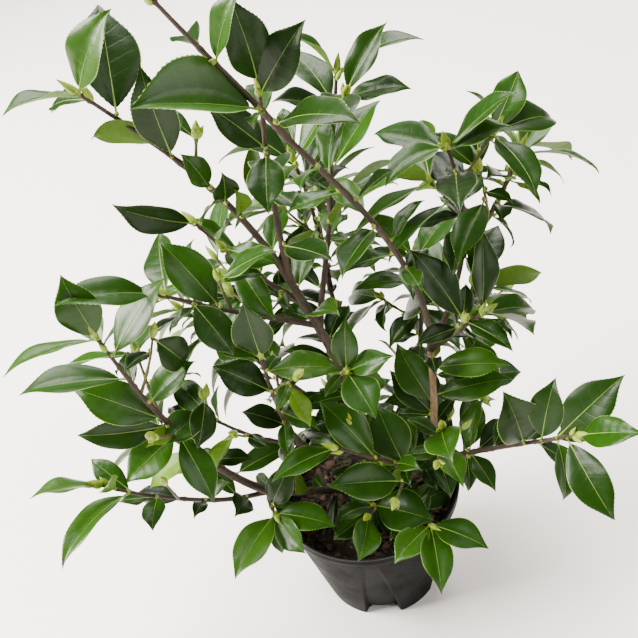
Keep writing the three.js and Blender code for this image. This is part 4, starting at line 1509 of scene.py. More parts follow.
class Growth:
    """The whole plant: its limbs and its masses of foliage."""

    def __init__(self) -> None:
        """Grow the limbs and stems first, then one mass after another."""
        self.space = Space()
        self.limbs: dict[str, Limb] = {}
        for plan in LIMB_PLANS:
            self.limbs[plan.name] = self._lay(plan, plan.girth)
        self.masses = [Mass(plan, self._lay(plan, (plan.girth, TWIG.stem_tip))) for plan in MASS_PLANS]
        for mass in self.masses:
            mass.grow(self.space)
        self._stand_out()
        self._fill()

    def _drop(self, gone: Sequence[Leaf]) -> None:
        """Take leaves off their masses."""
        for mass in self.masses:
            mass.leaves = [leaf for leaf in mass.leaves if leaf not in gone]

    def _stand_out(self) -> None:
        """Set the leaves that stand out, in place of the grown ones in their way."""
        leaves = []
        for name, plans in LEAF_PLANS.items():
            mass = next(m for m in self.masses if name in (m.plan.name, m.plan.on))
            for plan in plans:
                leaf = VIEW.leaf(plan, self.limbs.get(name) or mass.shoots[plan.twig].limb)
                self._drop(self.space.give_way(leaf, plan.seat))
                mass.leaves.append(leaf)
                self.space.leaves.append(leaf)
                leaves.append(leaf)
        self._drop(self.space.clear_view(leaves))

    def _fill(self) -> None:
        """Grow the second flush on every shoot, and on the boughs that carry masses."""
        for mass in self.masses:
            chance = Chance(mass.plan.seed + 1)
            for shoot in mass.shoots:
                step = mass.plan.region.step
                shoot.nodes += mass.fill(self.space, shoot.limb, step, FLUSH.twig_from, chance)
        for number, (name, limb) in enumerate(self.limbs.items()):
            host = next((mass for mass in self.masses if mass.plan.on == name), None)
            if host is not None:
                chance = Chance(number + FLUSH.bough_seed)
                host.fill(self.space, limb, FLUSH.bough_step, FLUSH.bough_from, chance)

    def _lay(self, plan: LimbPlan | MassPlan, girth: Pair) -> Limb:
        """Lay a planned limb from its carrier's axis, or from the mix, and return it."""
        foot = np.array([POT.trunk_x, 0.0, POT.soil_top + POT.trunk_gap])
        if plan.on is not None:
            foot = self.limbs[plan.on].at(plan.at)
        limb = Limb(foot, spot(plan.tip), heading(plan.go), girth, plan.pull)
        self.space.limbs.append(limb)
        return limb


def turns(sides: int) -> Array:
    """Return evenly spread angles round a circle, in radians."""
    return tau * np.arange(sides) / sides


def grid(rows: Array, columns: Array) -> tuple[Array, Array]:
    """Return the row's and the column's value at every crossing."""
    return tuple(np.meshgrid(rows, columns, indexing="ij"))


def loft(rings: int, sides: int, closed: bool = True) -> Array:
    """Return the faces between rings of points.

    Args:
        rings: How many rings there are.
        sides: How many points each ring has.
        closed: Whether each ring's last point joins its first.

    Returns:
        Four points a row.
    """
    ring, corner = grid(np.arange(rings - 1), np.arange(sides if closed else sides - 1))
    here = ring * sides + corner
    beside = ring * sides + (corner + 1) % sides
    return np.stack([here, here + sides, beside + sides, beside], axis=-1).reshape(-1, 4)


def tube(centres: Array, radii: Array, sides: int) -> Array:
    """Return rings of points round a line of centres, untwisted along it.

    Args:
        centres: The line's points, one a row.
        radii: A radius for each centre, or one for each point of each ring.
        sides: How many points each ring has.

    Returns:
        The rings' points, one a row.
    """
    courses = np.gradient(centres, axis=0)
    courses /= np.linalg.norm(courses, axis=1, keepdims=True)
    angles = turns(sides)
    reach = np.broadcast_to(np.reshape(radii, (len(centres), -1)), (len(centres), sides))
    side = cross_of(courses[0])[0]
    rings = []
    for centre, course, ring in zip(centres, courses, reach):
        side = square(side, course)
        rise = np.cross(side, course)
        spokes = np.outer(np.cos(angles), side) + np.outer(np.sin(angles), rise)
        rings.append(centre + spokes * ring[:, None])
    return np.concatenate(rings)


def bulge(where: Array, middle: float, width: float) -> Array:
    """Return a smooth swelling of height one about a middle."""
    return np.exp(-(((where - middle) / width) ** 2))


def link(name: str, data: bpy.types.ID) -> bpy.types.Object:
    """Make an object of some data and put it in the scene."""
    obj = bpy.data.objects.new(name, data)
    bpy.context.scene.collection.objects.link(obj)
    return obj


@dataclass
class Shell:
    """The points and faces of one piece, gathered batch by batch.

    Its finishes are in the order of its material slots. Edges bent by more than the crisp
    degrees stay sharp, with None for no sharp edge and 0 for nothing but sharp edges.
    """

    name: str
    finishes: Sequence[Finish]
    crisp: float | None = None
    points: list[Array] = field(default_factory=list)
    grains: list[Array] = field(default_factory=list)
    faces: list[Array] = field(default_factory=list)
    slots: list[Array] = field(default_factory=list)
    count: int = 0

    def add(self, points: Array, faces: Array, slots: int | Array = 0, grain: Array | None = None) -> None:
        """Add a batch.

        Args:
            points: Points in millimetres, one a row.
            faces: Faces of three or four points each, one a row.
            slots: The finish of each face.
            grain: The bark's or leaf's coordinates at each point, or None for none.
        """
        self.points.append(points)
        self.grains.append(np.zeros_like(points) if grain is None else grain)
        self.faces.append(faces + self.count)
        self.slots.append(np.broadcast_to(slots, len(faces)))
        self.count += len(points)

    def piece(self, nodes: Sequence[str]) -> None:
        """Make the piece's object, riding on the body in place of some nodes.

        Args:
            nodes: The solids that the piece stands for.
        """
        mesh = bpy.data.meshes.new(self.name)
        points = np.concatenate(self.points) * MILLIMETRE
        sizes = np.concatenate([np.full(len(f), f.shape[1]) for f in self.faces])
        loops = np.concatenate([f.ravel() for f in self.faces])
        mesh.vertices.add(len(points))
        mesh.vertices.foreach_set("co", points.ravel())
        mesh.loops.add(len(loops))
        mesh.loops.foreach_set("vertex_index", loops.astype(np.int32))
        mesh.polygons.add(len(sizes))
        mesh.polygons.foreach_set("loop_start", (np.cumsum(sizes) - sizes).astype(np.int32))
        mesh.polygons.foreach_set("material_index", np.concatenate(self.slots).astype(np.int32))
        mesh.polygons.foreach_set("use_smooth", np.full(len(sizes), self.crisp != 0))
        grain = mesh.attributes.new("grain", "FLOAT_VECTOR", "POINT")
        grain.data.foreach_set("vector", np.concatenate(self.grains).ravel())
        mesh.update(calc_edges=True)
        mesh.validate()
        if self.crisp:
            mesh.set_sharp_from_angle(angle=radians(self.crisp))
        for finish in self.finishes:
            mesh.materials.append(finish.material())
        obj = link(self.name, mesh)
        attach(obj, BODY)
        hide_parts(*nodes)
        LOG.info("%s: %d points, %d faces", self.name, len(points), len(sizes))


@dataclass(frozen=True)
class BarkShape:
    """The relief of a limb: its faces, ridges and swellings, in millimetres."""

    sides: int
    step: float
    ridge: float
    swell: float = 1.0
    node: float = 0.35
    node_drop: float = 0.8
    node_width: float = 1.7
    collar: float = 0.0
    collar_fall: float = 7.0
    flare: float = 0.0
    flare_fall: float = 22.0
    scar: float = 0.12
    scar_gap: float = 0.9
    scar_width: float = 0.35
    full_relief: float = 3.0
    sway: float = 0.35
    bends: Pair = (17.0, 23.0)
    lobes: tuple[tuple[int, float], ...] = ((2, 31.0), (3, 13.0), (5, 7.0), (7, 4.1))
    dome: tuple[float, ...] = (0.5, 0.86, 0.985)
    grain_around: float = 0.04
    grain_along: float = 0.009

    def _radii(self, limb: Limb, nodes: Sequence[float], shares: Array, luck: Luck) -> Array:
        """Return a limb's radii, swollen at its foot, its leaves and two rings of scars.

        Args:
            limb: The limb.
            nodes: The shares of its length where its leaves stand.
            shares: The shares to return radii for.
            luck: Chance for its scars.

        Returns:
            A radius for each share.
        """
        run = shares * limb.length
        radius = limb.radius(shares) * self.swell
        radius = radius + self.flare * np.exp(-self.flare_fall * shares)
        radius = radius + self.collar * np.exp(-run / self.collar_fall)
        for node in nodes:
            radius = radius + self.node * bulge(run, node * limb.length - self.node_drop, self.node_width)
        for scar in luck.uniform(0.08, 0.6, 2) * limb.length:
            for k in range(3):
                radius = radius + self.scar * bulge(run, scar + self.scar_gap * k, self.scar_width)
        return radius

    def _relief(self, run: Array, luck: Luck) -> Array:
        """Return the ridges round a limb, at distances along it."""
        relief = np.zeros((len(run), self.sides))
        for lobes, pitch in self.lobes:
            turn, shift = luck.uniform(0, tau, 2)
            wave = np.sin(lobes * turns(self.sides)[None] + np.sin(run / pitch + shift)[:, None] + turn)
            relief += self.ridge / lobes**0.5 * wave
        return relief

    def _grain(self, limb: Limb, run: Array, seed: int) -> Array:
        """Return the bark's coordinates, which run along the limb, at every point."""
        angles = turns(self.sides)
        around = np.stack([np.cos(angles), np.sin(angles)], axis=-1) * limb.girth[0] * self.grain_around
        along = run[:, None, None] * self.grain_along + seed
        rings = (len(run), self.sides)
        parts = [np.broadcast_to(around[None], (*rings, 2)), np.broadcast_to(along, (*rings, 1))]
        return np.concatenate(parts, axis=-1).reshape(-1, 3)

    def add(self, shell: Shell, limb: Limb, nodes: Sequence[float], slot: int, seed: int) -> None:
        """Add a limb to a piece, with a rounded tip.

        Args:
            shell: The piece.
            limb: The limb.
            nodes: The shares of its length where its leaves stand.
            slot: The finish of its faces.
            seed: The seed of its ridges.
        """
        luck = np.random.default_rng(seed)
        shares = np.linspace(0, 1, max(6, round(limb.length / self.step)) + 1)
        run = shares * limb.length
        radius = self._radii(limb, nodes, shares, luck)
        phases = luck.uniform(0, tau, 4)
        hold = self.sway * np.sin(pi * shares)
        centres = np.array([limb.at(t) for t in shares])
        for axis, bend, phase in zip(cross_of(limb.along(0.5)), self.bends, phases):
            centres = centres + np.outer(hold * np.sin(run / bend + phase), axis)
        thin = np.minimum(1.0, radius / self.full_relief)
        rings = radius[:, None] + self._relief(run, luck) * thin[:, None]
        dome = np.array(self.dome)
        ahead = limb.along(1.0)[None] * (limb.girth[1] * dome)[:, None]
        centres = np.concatenate([centres, limb.at(1.0)[None] + ahead])
        rings = np.concatenate([rings, rings[-1][None] * np.sqrt(1 - dome**2)[:, None]])
        run = np.concatenate([run, limb.length + limb.girth[1] * dome])
        points = tube(centres, rings, self.sides)
        shell.add(points, loft(len(run), self.sides), slot, self._grain(limb, run, seed))


@dataclass
class Limbs:
    """The trunk and the boughs, each a piece of its own with the bark's relief."""

    growth: Growth
    trunk: BarkShape = BarkShape(24, 1.8, 0.16, flare=5.0, node=0.0)
    bough: BarkShape = BarkShape(18, 1.8, 0.11, collar=0.9, node=0.0)

    def build(self) -> None:
        """Build every limb."""
        barks = dict.fromkeys(("leader", "bough_high_back", "bough_high_right"), BARK_YOUNG)
        barks["bough_right"] = BARK_TAN
        for seed, (name, limb) in enumerate(self.growth.limbs.items(), 1):
            shell = Shell(name + "_bark", [barks.get(name, BARK_OLD)])
            shape = self.trunk if name == "trunk" else self.bough
            shape.add(shell, limb, (), 0, seed)
            shell.piece([name])


def names_of(masses: Sequence[Mass]) -> list[str]:
    """Return the nodes that some masses stand for."""
    return [mass.plan.name for mass in masses]


@dataclass
class Twigs:
    """The stems and side twigs of every mass, joined into one piece."""

    masses: list[Mass]
    stem: BarkShape = BarkShape(12, 1.5, 0.08, collar=0.5, node=0.42, swell=1.25, sway=0.5)
    side: BarkShape = BarkShape(10, 1.5, 0.05, collar=0.35, node=0.36, swell=1.12, sway=0.4)
    first_seed: int = 101

    def build(self) -> None:
        """Build the piece."""
        shell = Shell("twigs", [BARK_YOUNG, BARK_GREEN])
        shoots = [shoot for mass in self.masses for shoot in mass.shoots]
        for seed, shoot in enumerate(shoots, self.first_seed):
            shape = self.stem if shoot.leader else self.side
            shape.add(shell, shoot.limb, shoot.nodes, 0 if shoot.leader else 1, seed)
        shell.piece(names_of(self.masses))


@dataclass(frozen=True)
class BladeShape:
    """The visual leaf: its mesh and its relief, in millimetres and shares."""

    stations: int = 50
    columns: tuple[float, ...] = (-1.0, -0.955, -0.66, -0.32, 0.0, 0.32, 0.66, 0.955, 1.0)
    under: tuple[float, ...] = (-1.0, -0.5, 0.0, 0.5, 1.0)
    margin: float = 0.96
    least_half: float = 0.3
    thickness: float = 0.38
    slim: float = 0.94
    drawn_out: float = 0.42
    wedge: float = 0.2
    tooth: float = 0.4
    tooth_share: float = 0.07
    crease: float = 0.55
    crease_width: float = 1.25
    quilt: float = 0.22
    veins: float = 7.5
    slant: float = 1.25
    wave: float = 1.3
    waves: Pair = (1.6, 1.9)
    twist: float = 0.12
    cup: float = 0.1
    hook: float = 3.2
    rib_sides: int = 6
    rib_rings: int = 13
    rib_reach: float = 0.985
    rib_lift: float = 0.62
    stalk: float = 0.85
    stalk_for: float = 62.0
    rib_end: float = 0.14

    def _chance(self, seed: int) -> tuple[Array, Array]:
        """Return the phases and the sizes of a leaf's own relief."""
        luck = np.random.default_rng(seed)
        return luck.uniform(0, tau, 4), luck.uniform(0.5, 1.0, 3)

    def _outline(self, b: Array) -> Array:
        """Return the outline's half width at shares of the blade, drawn out at its tip."""
        u = LEAF.petiole + (1 - LEAF.petiole) * b
        late = held((b - 0.72) / 0.28)
        early = held(1 - b / 0.42)
        tip = 1 - self.drawn_out * late**1.3
        return half_width(u) * self.slim * tip * (1 - self.wedge * early**2)

    def _hooked(self, b: Array, size: float) -> Array:
        """Return how far the tip hangs at shares of the blade."""
        return -self.hook * size * held((b - 0.78) / 0.22) ** 2

    def _lift(self, b: Array, v: Array, s: Array, half: Array, seed: int) -> Array:
        """Return how far a leaf's points stand off its smooth face.

        Args:
            b: Shares along the blade.
            v: Shares across it.
            s: Millimetres across it.
            half: Its half width in millimetres.
            seed: The seed of its relief.

        Returns:
            Millimetres, for each point.
        """
        phases, size = self._chance(seed)
        ends = np.sin(pi * held(b)) ** 0.5
        lift = -self.crease * np.exp(-((s / self.crease_width) ** 2)) * np.clip(1.1 - b, 0.25, 1)
        veins = np.sin(tau * (self.veins * b - self.slant * np.abs(v)) + phases[0])
        lift += self.quilt * size[0] * veins * np.sin(pi * held(np.abs(v))) * ends
        right, left = (np.sin(tau * w * b + p) for w, p in zip(self.waves, phases[1:3]))
        lift += self.wave * size[1] * np.where(v > 0, right, left) * v**2 * ends
        lift += s * tan(self.twist) * sin(phases[3]) * b
        lift += -self.cup * half * v**4
        lift += self._hooked(b, size[2])
        return lift

    def _side(self, leaf: Leaf, columns: Sequence[float], seed: int, drop: float) -> tuple[Array, Array]:
        """Return the points of one side of a leaf and their grain.

        Args:
            leaf: The leaf.
            columns: Shares across, from one margin to the other.
            seed: The seed of its relief.
            drop: How far this side lies under the upper one.

        Returns:
            One point a row, and its shares along and across with the leaf's own chance.
        """
        b, v = grid(np.linspace(0, 1, self.stations + 1), np.array(columns))
        half = np.maximum(self._outline(b) * leaf.width / 2, self.least_half)
        notch = np.arange(self.stations + 1)[:, None] % 2
        toothed = np.minimum(self.tooth, self.tooth_share * half) * held(b * 8 - 0.8)
        rim = np.abs(v) >= self.margin
        s = v * (half - np.where(rim, toothed * notch, 0.0))
        lean = np.where(rim, (0.5 - notch) * 0.5 / self.stations, 0.0) * (b < 0.99)
        u = LEAF.petiole + (1 - LEAF.petiole) * held(b + lean)
        h = self._lift(b, v, s, half, seed) - drop * (1 - v**8)
        own = self._chance(seed)[1][1] * 2 - 1
        grain = np.stack([b, np.abs(v), np.full_like(b, own)], axis=-1)
        return leaf.place(u.ravel(), s.ravel(), h.ravel()), grain.reshape(-1, 3)

    def _rib(self, leaf: Leaf, seed: int) -> Array:
        """Return the points of the stalk and the midrib that it runs into."""
        shares = np.linspace(0, self.rib_reach, self.rib_rings)
        sunk = held((shares - LEAF.petiole) * 14)
        b = (shares - LEAF.petiole) / (1 - LEAF.petiole)
        drop = self._hooked(b, self._chance(seed)[1][2])
        drop = drop - self.rib_lift * self.crease * sunk * np.clip(1.1 - b, 0.25, 1)
        line = leaf.place(shares, np.zeros(len(shares)), drop)
        stalk = self.stalk * (0.5 + 0.5 * leaf.length / self.stalk_for)
        radii = self.rib_end + (stalk - self.rib_end) * (1 - shares) ** 2.1
        return tube(line, radii * (1 - 0.22 * sunk), self.rib_sides)

    def add(self, shell: Shell, leaf: Leaf, blade: int, seed: int) -> None:
        """Add a leaf to a piece whose last finishes are edge, underside and rib.

        Args:
            shell: The piece.
            leaf: The leaf.
            blade: The finish of its upper side.
            seed: The seed of its relief.
        """
        edge, under, rib = (len(shell.finishes) - k for k in (3, 2, 1))
        rows = self.stations + 1
        slots = np.full((self.stations, len(self.columns) - 1), blade)
        slots[:, (0, -1)] = edge
        top, grain = self._side(leaf, self.columns, seed, 0.0)
        shell.add(top, loft(rows, len(self.columns), False)[:, ::-1], slots.ravel(), grain)
        back, grain = self._side(leaf, self.under, seed, self.thickness)
        shell.add(back, loft(rows, len(self.under), False), under, grain)
        shell.add(self._rib(leaf, seed), loft(self.rib_rings, self.rib_sides), rib)


@dataclass
class Foliage:
    """The leaves of one region of the crown, joined into one piece."""

    region: Region
    masses: list[Mass]
    blade: BladeShape = BladeShape()
    young: float = 0.02
    years: float = 2.45
    spread: float = 0.6
    tip_years: float = 0.8
    seeds: int = 40

    def _age(self, leaf: Leaf, spray: float, luck: Luck) -> Age:
        """Return a leaf's age: its plan's, or its spray's with the tip younger."""
        if leaf.age is not None:
            return leaf.age
        if luck.uniform() < self.young:
            return YOUNG
        years = self.years + self.region.years + spray + luck.normal(0, self.spread)
        return Age(int(np.clip(round(years - self.tip_years * leaf.outer), 1, 4)))

    def build(self) -> None:
        """Build the piece."""
        shell = Shell("leaves_" + self.region.name.lower(), [*BLADES.values(), EDGE, UNDERSIDE, RIB])
        mine = [mass for mass in self.masses if mass.plan.region is self.region]
        for mass in mine:
            luck = np.random.default_rng(mass.plan.seed)
            spray = luck.uniform(-0.5, 0.5)
            for seed, leaf in enumerate(mass.leaves, mass.plan.seed * self.seeds):
                self.blade.add(shell, leaf, self._age(leaf, spray, luck).value, seed)
        shell.piece(names_of(mine))


@dataclass(frozen=True)
class BudShape:
    """A pointed bud of overlapping scales, in millimetres and shares."""

    girth: float = 2.5
    scales: int = 5
    rows: int = 8
    columns: int = 9
    sides: int = 12
    rings: int = 10
    wrap: float = 1.6
    core: float = 0.95
    thickness: float = 0.1

    def _profile(self, z: Array) -> Array:
        """Return the radius over the girth at shares of the bud's length."""
        belly = held(np.sin(pi * held(z) ** 0.78)) ** 0.85
        return belly * (1.06 - 0.3 * z) + 0.34 * (1 - held(z)) ** 4

    def add(self, shell: Shell, foot: Array, course: Array, length: float, girth: float, seed: int) -> None:
        """Add a bud to a piece whose finishes are scale and scale tip.

        Args:
            shell: The piece.
            foot: Where the bud starts.
            course: The direction of its point.
            length: Its length.
            girth: Its greatest radius.
            seed: The seed of its scales.
        """
        side, rise = cross_of(course)
        z = np.linspace(0, 1, self.rings)
        core = foot + np.outer(z * length, course)
        radii = np.maximum(self._profile(z) * girth * self.core, 0.06)
        shell.add(tube(core, radii, self.sides), loft(self.rings, self.sides))
        start = np.random.default_rng(seed).uniform(0, tau)
        row, column = grid(np.linspace(0, 1, self.rows), np.linspace(-1, 1, self.columns))
        narrow = held(1 - row**2.4) ** 0.62
        faces = loft(self.rows, self.columns, False)
        tips = np.repeat(np.arange(self.rows - 1) >= self.rows - 2, self.columns - 1)
        for k in range(self.scales):
            reach = 0.3 + 0.68 * (k + 1) / self.scales
            low = 0.06 * k / self.scales
            height = low + (reach - low) * row
            angle = start + k * TURN + column * (self.wrap - 0.08 * k) * narrow
            radius = self._profile(height) * girth * (1.07 - 0.012 * k)
            radius = radius + self.thickness / 2 + self.thickness * (1 - column**2) * (1 - row)
            spokes = np.outer(np.cos(angle.ravel()), side) + np.outer(np.sin(angle.ravel()), rise)
            points = foot + np.outer(height.ravel() * length, course) + spokes * radius.ravel()[:, None]
            shell.add(points, faces, tips.astype(int))


@dataclass
class Buds:
    """The buds at every shoot's tip and in the leaves' axils, joined into one piece."""

    masses: list[Mass]
    shape: BudShape = BudShape()
    small: BudShape = BudShape(scales=2, rows=4, columns=5, sides=7, rings=6)
    stretch: float = 1.25
    sunk: float = 0.8
    beside: float = 0.74
    seeds: int = 10**6

    def _axil(self, shell: Shell, leaf: Leaf, luck: Luck) -> None:
        """Add the small bud that sits in a leaf's axil, on its face's side."""
        course = unit(leaf.aim * 0.55 + leaf.face)
        foot = leaf.base + leaf.aim * 1.6 + leaf.face * 0.5
        length = luck.uniform(2.6, 5.0)
        self.small.add(shell, foot, course, length, 0.36 * length, int(luck.integers(1, self.seeds)))

    def _tip(self, shell: Shell, shoot: Shoot, luck: Luck) -> None:
        """Add the bud at a shoot's tip, with up to two smaller ones beside it."""
        course = shoot.bud.along(0)
        girth = self.shape.girth * luck.uniform(0.85, 1.3)
        seed = int(luck.integers(1, self.seeds))
        reach = shoot.bud.length * self.stretch + self.sunk
        self.shape.add(shell, shoot.bud.at(0) - course * self.sunk, course, reach, girth, seed)
        side, rise = cross_of(course)
        for _ in range(int(luck.integers(0, 3))):
            turn = luck.uniform(0, tau)
            spoke = side * cos(turn) + rise * sin(turn)
            lean = unit(course * 0.85 + spoke * luck.uniform(0.35, 0.7))
            foot = shoot.limb.at(luck.uniform(0.93, 0.985)) + spoke * 0.5
            length = reach * luck.uniform(0.55, 0.85)
            self.shape.add(shell, foot, lean, length, girth * self.beside, seed + 1)

    def build(self) -> None:
        """Build the piece."""
        shell = Shell("buds", [SCALE, SCALE_TIP])
        luck = np.random.default_rng(11)
        for mass in self.masses:
            for leaf in mass.leaves:
                self._axil(shell, leaf, luck)
            for shoot in mass.shoots:
                self._tip(shell, shoot, luck)
        shell.piece(names_of(self.masses))


Rows = list[tuple[Array, Array]]


@dataclass(frozen=True)
class Pot:
    """The moulded nursery pot: rolled rim, collar, pressed panels and arched foot.

    The collar's and lining's points are given inside the rim and over the collar's edge.
    """

    sides: int = 480
    wall_rows: int = 44
    lining_rows: int = 16
    roll_rows: int = 14
    core: float = 44.0
    roll: float = 1.3
    top_half_angle: float = 2.0
    panel_edge: float = 2.2
    collar: tuple[Pair, ...] = ((3.6, -0.3), (2.3, 0), (1.5, 0.4), (1.1, 1.2), (0.8, 3), (0.3, 6.5))
    lining: tuple[Pair, ...] = ((2.9, 7.0), (3.4, 1.0))

    def _off(self, bearing: Array) -> Array:
        """Return the angle from a bearing to the middle of the nearest panel."""
        pitch = 360 / POT.panels
        return np.abs((bearing - POT.first_panel + pitch / 2) % pitch - pitch / 2)

    def _press(self, bearing: Array, z: Array) -> Array:
        """Return how far the wall is pressed in at bearings and heights."""
        drop = held((POT.panel_top - z) / POT.panel_top)
        half = self.top_half_angle + (POT.panel_half_angle - self.top_half_angle) * drop
        edge = held((half + 2.6 - self._off(bearing)) / self.panel_edge)
        return POT.panel_depth * drop * edge * edge * (3 - 2 * edge)

    def _arch(self, bearing: Array) -> Array:
        """Return the height of the foot's arch at bearings."""
        share = held(self._off(bearing) / (POT.panel_half_angle - 1.5))
        return POT.arch_height * np.sqrt(held(1 - share**4)) * (share < 1)

    def _wall(self, bearing: Array, z: Array, inset: float = 0.0) -> Array:
        """Return the wall's radius at bearings and heights."""
        step = POT.collar_step * z / POT.height
        return POT.radius(z) - step - inset - self._press(bearing, z)

    def _outside(self, bearing: Array, under: float) -> Rows:
        """Return the rows from the underside's middle up to the collar's lower edge."""
        flat = np.zeros(self.sides)
        arch = self._arch(bearing)
        rows = [(flat + r, flat) for r in (0.05, 14.0, 30.0, self.core - 1, self.core)]
        rows += [(flat + self.core + 0.3, arch * 0.5), (flat + self.core + 0.8, arch)]
        foot = self._wall(bearing, arch)
        rows += [(foot - 1.6, arch), (foot - 0.5, arch + 0.15), (foot - 0.1, arch + 0.5)]
        for share in np.linspace(0, 1, self.wall_rows):
            z = arch + 1.0 + (under - 0.6 - arch - 1.0) * share
            rows.append((self._wall(bearing, z), z))
        return rows

    def _rim(self, under: float) -> list[Pair]:
        """Return the collar's, the rolled rim's and the lining's radii and heights."""
        rim = POT.rim_radius
        middle = POT.height - self.roll
        points = [(rim - inside, under + over) for inside, over in self.collar]
        for angle in np.radians(np.linspace(-40, 220, self.roll_rows)):
            out = rim - self.roll + self.roll * cos(angle)
            points.append((out, middle + self.roll * sin(angle)))
        points += [(rim - inside, under + over) for inside, over in self.lining]
        inner = float(POT.radius(np.array(under))) - POT.collar_step - POT.wall
        return points + [(inner + 0.6, under - 0.6), (inner, under - 1.5)]

    def build(self) -> None:
        """Build the piece."""
        bearing = 360 * np.arange(self.sides) / self.sides
        flat = np.zeros(self.sides)
        under = POT.height - POT.collar_height
        rows = self._outside(bearing, under)
        rows += [(flat + r, flat + z) for r, z in self._rim(under)]
        for z in np.linspace(under - 4, POT.floor, self.lining_rows):
            rows.append((self._wall(bearing, flat + z, POT.wall), flat + z))
        rows.append((flat + 0.05, flat + POT.floor))
        reach, height = (np.array(part) for part in zip(*rows))
        angle = np.radians(bearing)[None]
        points = np.stack([reach * np.sin(angle), -reach * np.cos(angle), height], axis=-1)
        shell = Shell("nursery_pot", [PLASTIC, PLASTIC_RIM_PAINTED_HIGHLIGHT], crisp=40.0)
        # The rolled rim's faces take the rim finish, whose lighter colours are a painted highlight.
        rolled = (reach[:-1, 0] > POT.rim_radius - 3) & (height[:-1, 0] > POT.height - 4)
        slots = np.repeat(rolled.astype(int), self.sides)
        shell.add(points.reshape(-1, 3), loft(len(rows), self.sides)[:, ::-1], slots)
        shell.piece(["pot"])


@dataclass(frozen=True)
class GrowingMix:
    """The mix in the pot: a rough dome of fines under a layer of bark chips."""

    edge: float = 75.4
    rings: int = 46
    sides: int = 150
    sunk: float = 1.4
    chips: int = 1500
    keep_off: float = 6.5
    least_chip: float = 1.6
    chip_range: float = 5.2
    tilt: float = 0.38
    kinds: tuple[float, ...] = (0.5, 0.36, 0.14)

    def _height(self, x: Array, y: Array) -> Array:
        """Return the height of the fines at places."""
        reach = np.hypot(x, y)
        slope = held((reach - POT.soil_crown) / (self.edge - POT.soil_crown))
        lumps = np.sin(x / 7.3 + 1.1) * np.sin(y / 6.1 + 0.4) + 0.6 * np.sin(x / 3.1) * np.sin(y / 3.7 + 2)
        fine = 0.35 * np.sin(x / 1.3 + y / 1.9) * np.sin(y / 1.1 - x / 2.3)
        return POT.soil_top - self.sunk - POT.soil_drop * slope**1.5 + 0.9 * lumps + fine

    def _fines(self) -> None:
        """Build the dome of fines, turned down at its edge."""
        reach, bearing = grid(self.edge * np.linspace(0.002, 1, self.rings) ** 0.8, turns(self.sides))
        x = reach * np.sin(bearing)
        y = -reach * np.cos(bearing)
        z = self._height(x, y)
        z[-1] -= 3.0
        shell = Shell("mix_fines", [MIX_FINE])
        shell.add(np.stack([x, y, z], axis=-1).reshape(-1, 3), loft(self.rings, self.sides))
        shell.piece(["soil"])

    @staticmethod
    def _lump() -> tuple[Array, Array]:
        """Return the points and faces of one unit lump."""
        lump = bmesh.new()
        bmesh.ops.create_icosphere(lump, subdivisions=1, radius=1.0)
        points = np.array([vertex.co[:] for vertex in lump.verts])
        faces = np.array([[vertex.index for vertex in face.verts] for face in lump.faces])
        lump.free()
        return points, faces

    def _chips(self) -> None:
        """Build the chips, clear of the trunk."""
        luck = np.random.default_rng(5)
        lump, faces = self._lump()
        shell = Shell("bark_chips", CHIPS, crisp=0)
        for _ in range(self.chips):
            reach = (self.edge - 4) * sqrt(luck.uniform())
            bearing = luck.uniform(0, tau)
            x = reach * sin(bearing)
            y = -reach * cos(bearing)
            if hypot(x - POT.trunk_x, y) < self.keep_off:
                continue
            length = self.least_chip + self.chip_range * luck.uniform() ** 2
            body = np.array([length, length * luck.uniform(0.4, 0.75), length * luck.uniform(0.18, 0.42)])
            points = lump * luck.uniform(0.72, 1.18, lump.shape) * body
            tilt = Matrix.Rotation(luck.normal(0, self.tilt), 3, "X")
            tilt = tilt @ Matrix.Rotation(luck.normal(0, self.tilt), 3, "Y")
            spin = np.array(Matrix.Rotation(luck.uniform(0, tau), 3, "Z") @ tilt)
            ground = float(self._height(np.array(x), np.array(y)))
            centre = np.array([x, y, ground + body[2] * luck.uniform(-0.1, 0.9)])
            shell.add(points @ spin.T + centre, faces, int(luck.choice(len(CHIPS), p=self.kinds)))
        shell.piece(["soil"])

    def build(self) -> None:
        """Build the fines and the chips."""
        self._fines()
        self._chips()


@dataclass(frozen=True)
class Lamp:
    """A square soft light, in metres and watts."""

    name: str
    place: Triple
    aim: Triple
    size: float
    power: float
    colour: Colour = tone("fffaf4")

    def build(self) -> None:
        """Build the light."""
        light = bpy.data.lights.new(self.name, "AREA")
        light.shape = "SQUARE"
        light.size = self.size
        light.energy = self.power
        light.color = self.colour[:3]
        course = Vector(self.aim) - Vector(self.place)
        turn = course.to_track_quat("-Z", "Y").to_matrix().to_4x4()
        link(self.name, light).matrix_world = Matrix.Translation(self.place) @ turn


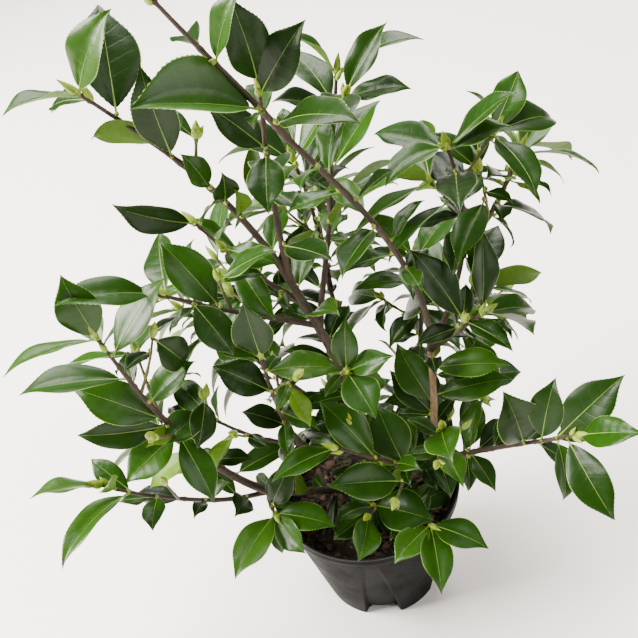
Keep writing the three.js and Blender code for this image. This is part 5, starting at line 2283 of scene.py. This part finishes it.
@dataclass(frozen=True)
class Studio:
    """The pale floor, the soft light and the camera at the photograph's angle."""

    half_floor: float = 9.0
    sensor: float = 36.0
    sky: Colour = tone("f2efee")
    sky_strength: float = 0.24
    lamps: tuple[Lamp, ...] = (
        Lamp("window", (-2.5, 0.1, 2.2), (0.0, 0.0, 0.25), 1.8, 560.0),
        Lamp("top", (0.1, 1.0, 3.4), (0.0, 0.0, 0.2), 1.6, 260.0),
        Lamp("fill", (2.6, -1.8, 2.4), (0.0, 0.0, 0.25), 2.4, 110.0),
        Lamp("back", (0.8, 3.6, 3.4), (0.0, 2.0, 0.0), 2.4, 260.0, tone("fffaf5")),
    )

    def _camera(self) -> None:
        """Build the camera."""
        camera = bpy.data.cameras.new("camera")
        camera.sensor_width = self.sensor
        camera.lens = VIEW.focal * self.sensor / VIEW.frame
        camera.clip_end = 50
        ahead, right, up = VIEW.axes()
        turn = Matrix((right, up, -ahead)).transposed().to_4x4()
        obj = link("camera", camera)
        obj.matrix_world = Matrix.Translation(Vector(VIEW.eye) * MILLIMETRE) @ turn
        bpy.context.scene.camera = obj

    def _floor(self) -> None:
        """Build the floor."""
        half = self.half_floor
        corners = [(-half, -half, 0), (half, -half, 0), (half, half, 0), (-half, half, 0)]
        mesh = bpy.data.meshes.new("floor")
        mesh.from_pydata(corners, [], [range(4)])
        mesh.materials.append(FLOOR.material())
        link("floor", mesh)

    def build(self) -> None:
        """Build the studio."""
        world = bpy.data.worlds.new("sky")
        world.use_nodes = True
        sky = world.node_tree.nodes["Background"]
        sky.inputs["Color"].default_value = self.sky
        sky.inputs["Strength"].default_value = self.sky_strength
        bpy.context.scene.world = world
        self._floor()
        self._camera()
        for lamp in self.lamps:
            lamp.build()


def main() -> None:
    """Grow the plant and dress every part of it."""
    logging.basicConfig(level=logging.INFO, format="%(message)s")
    growth = Growth()
    LOG.info("leaves: %d", len(growth.space.leaves))
    Studio().build()
    Pot().build()
    GrowingMix().build()
    Limbs(growth).build()
    Twigs(growth.masses).build()
    for region in Region:
        Foliage(region, growth.masses).build()
    Buds(growth.masses).build()


if __name__ == "__main__":
    main()
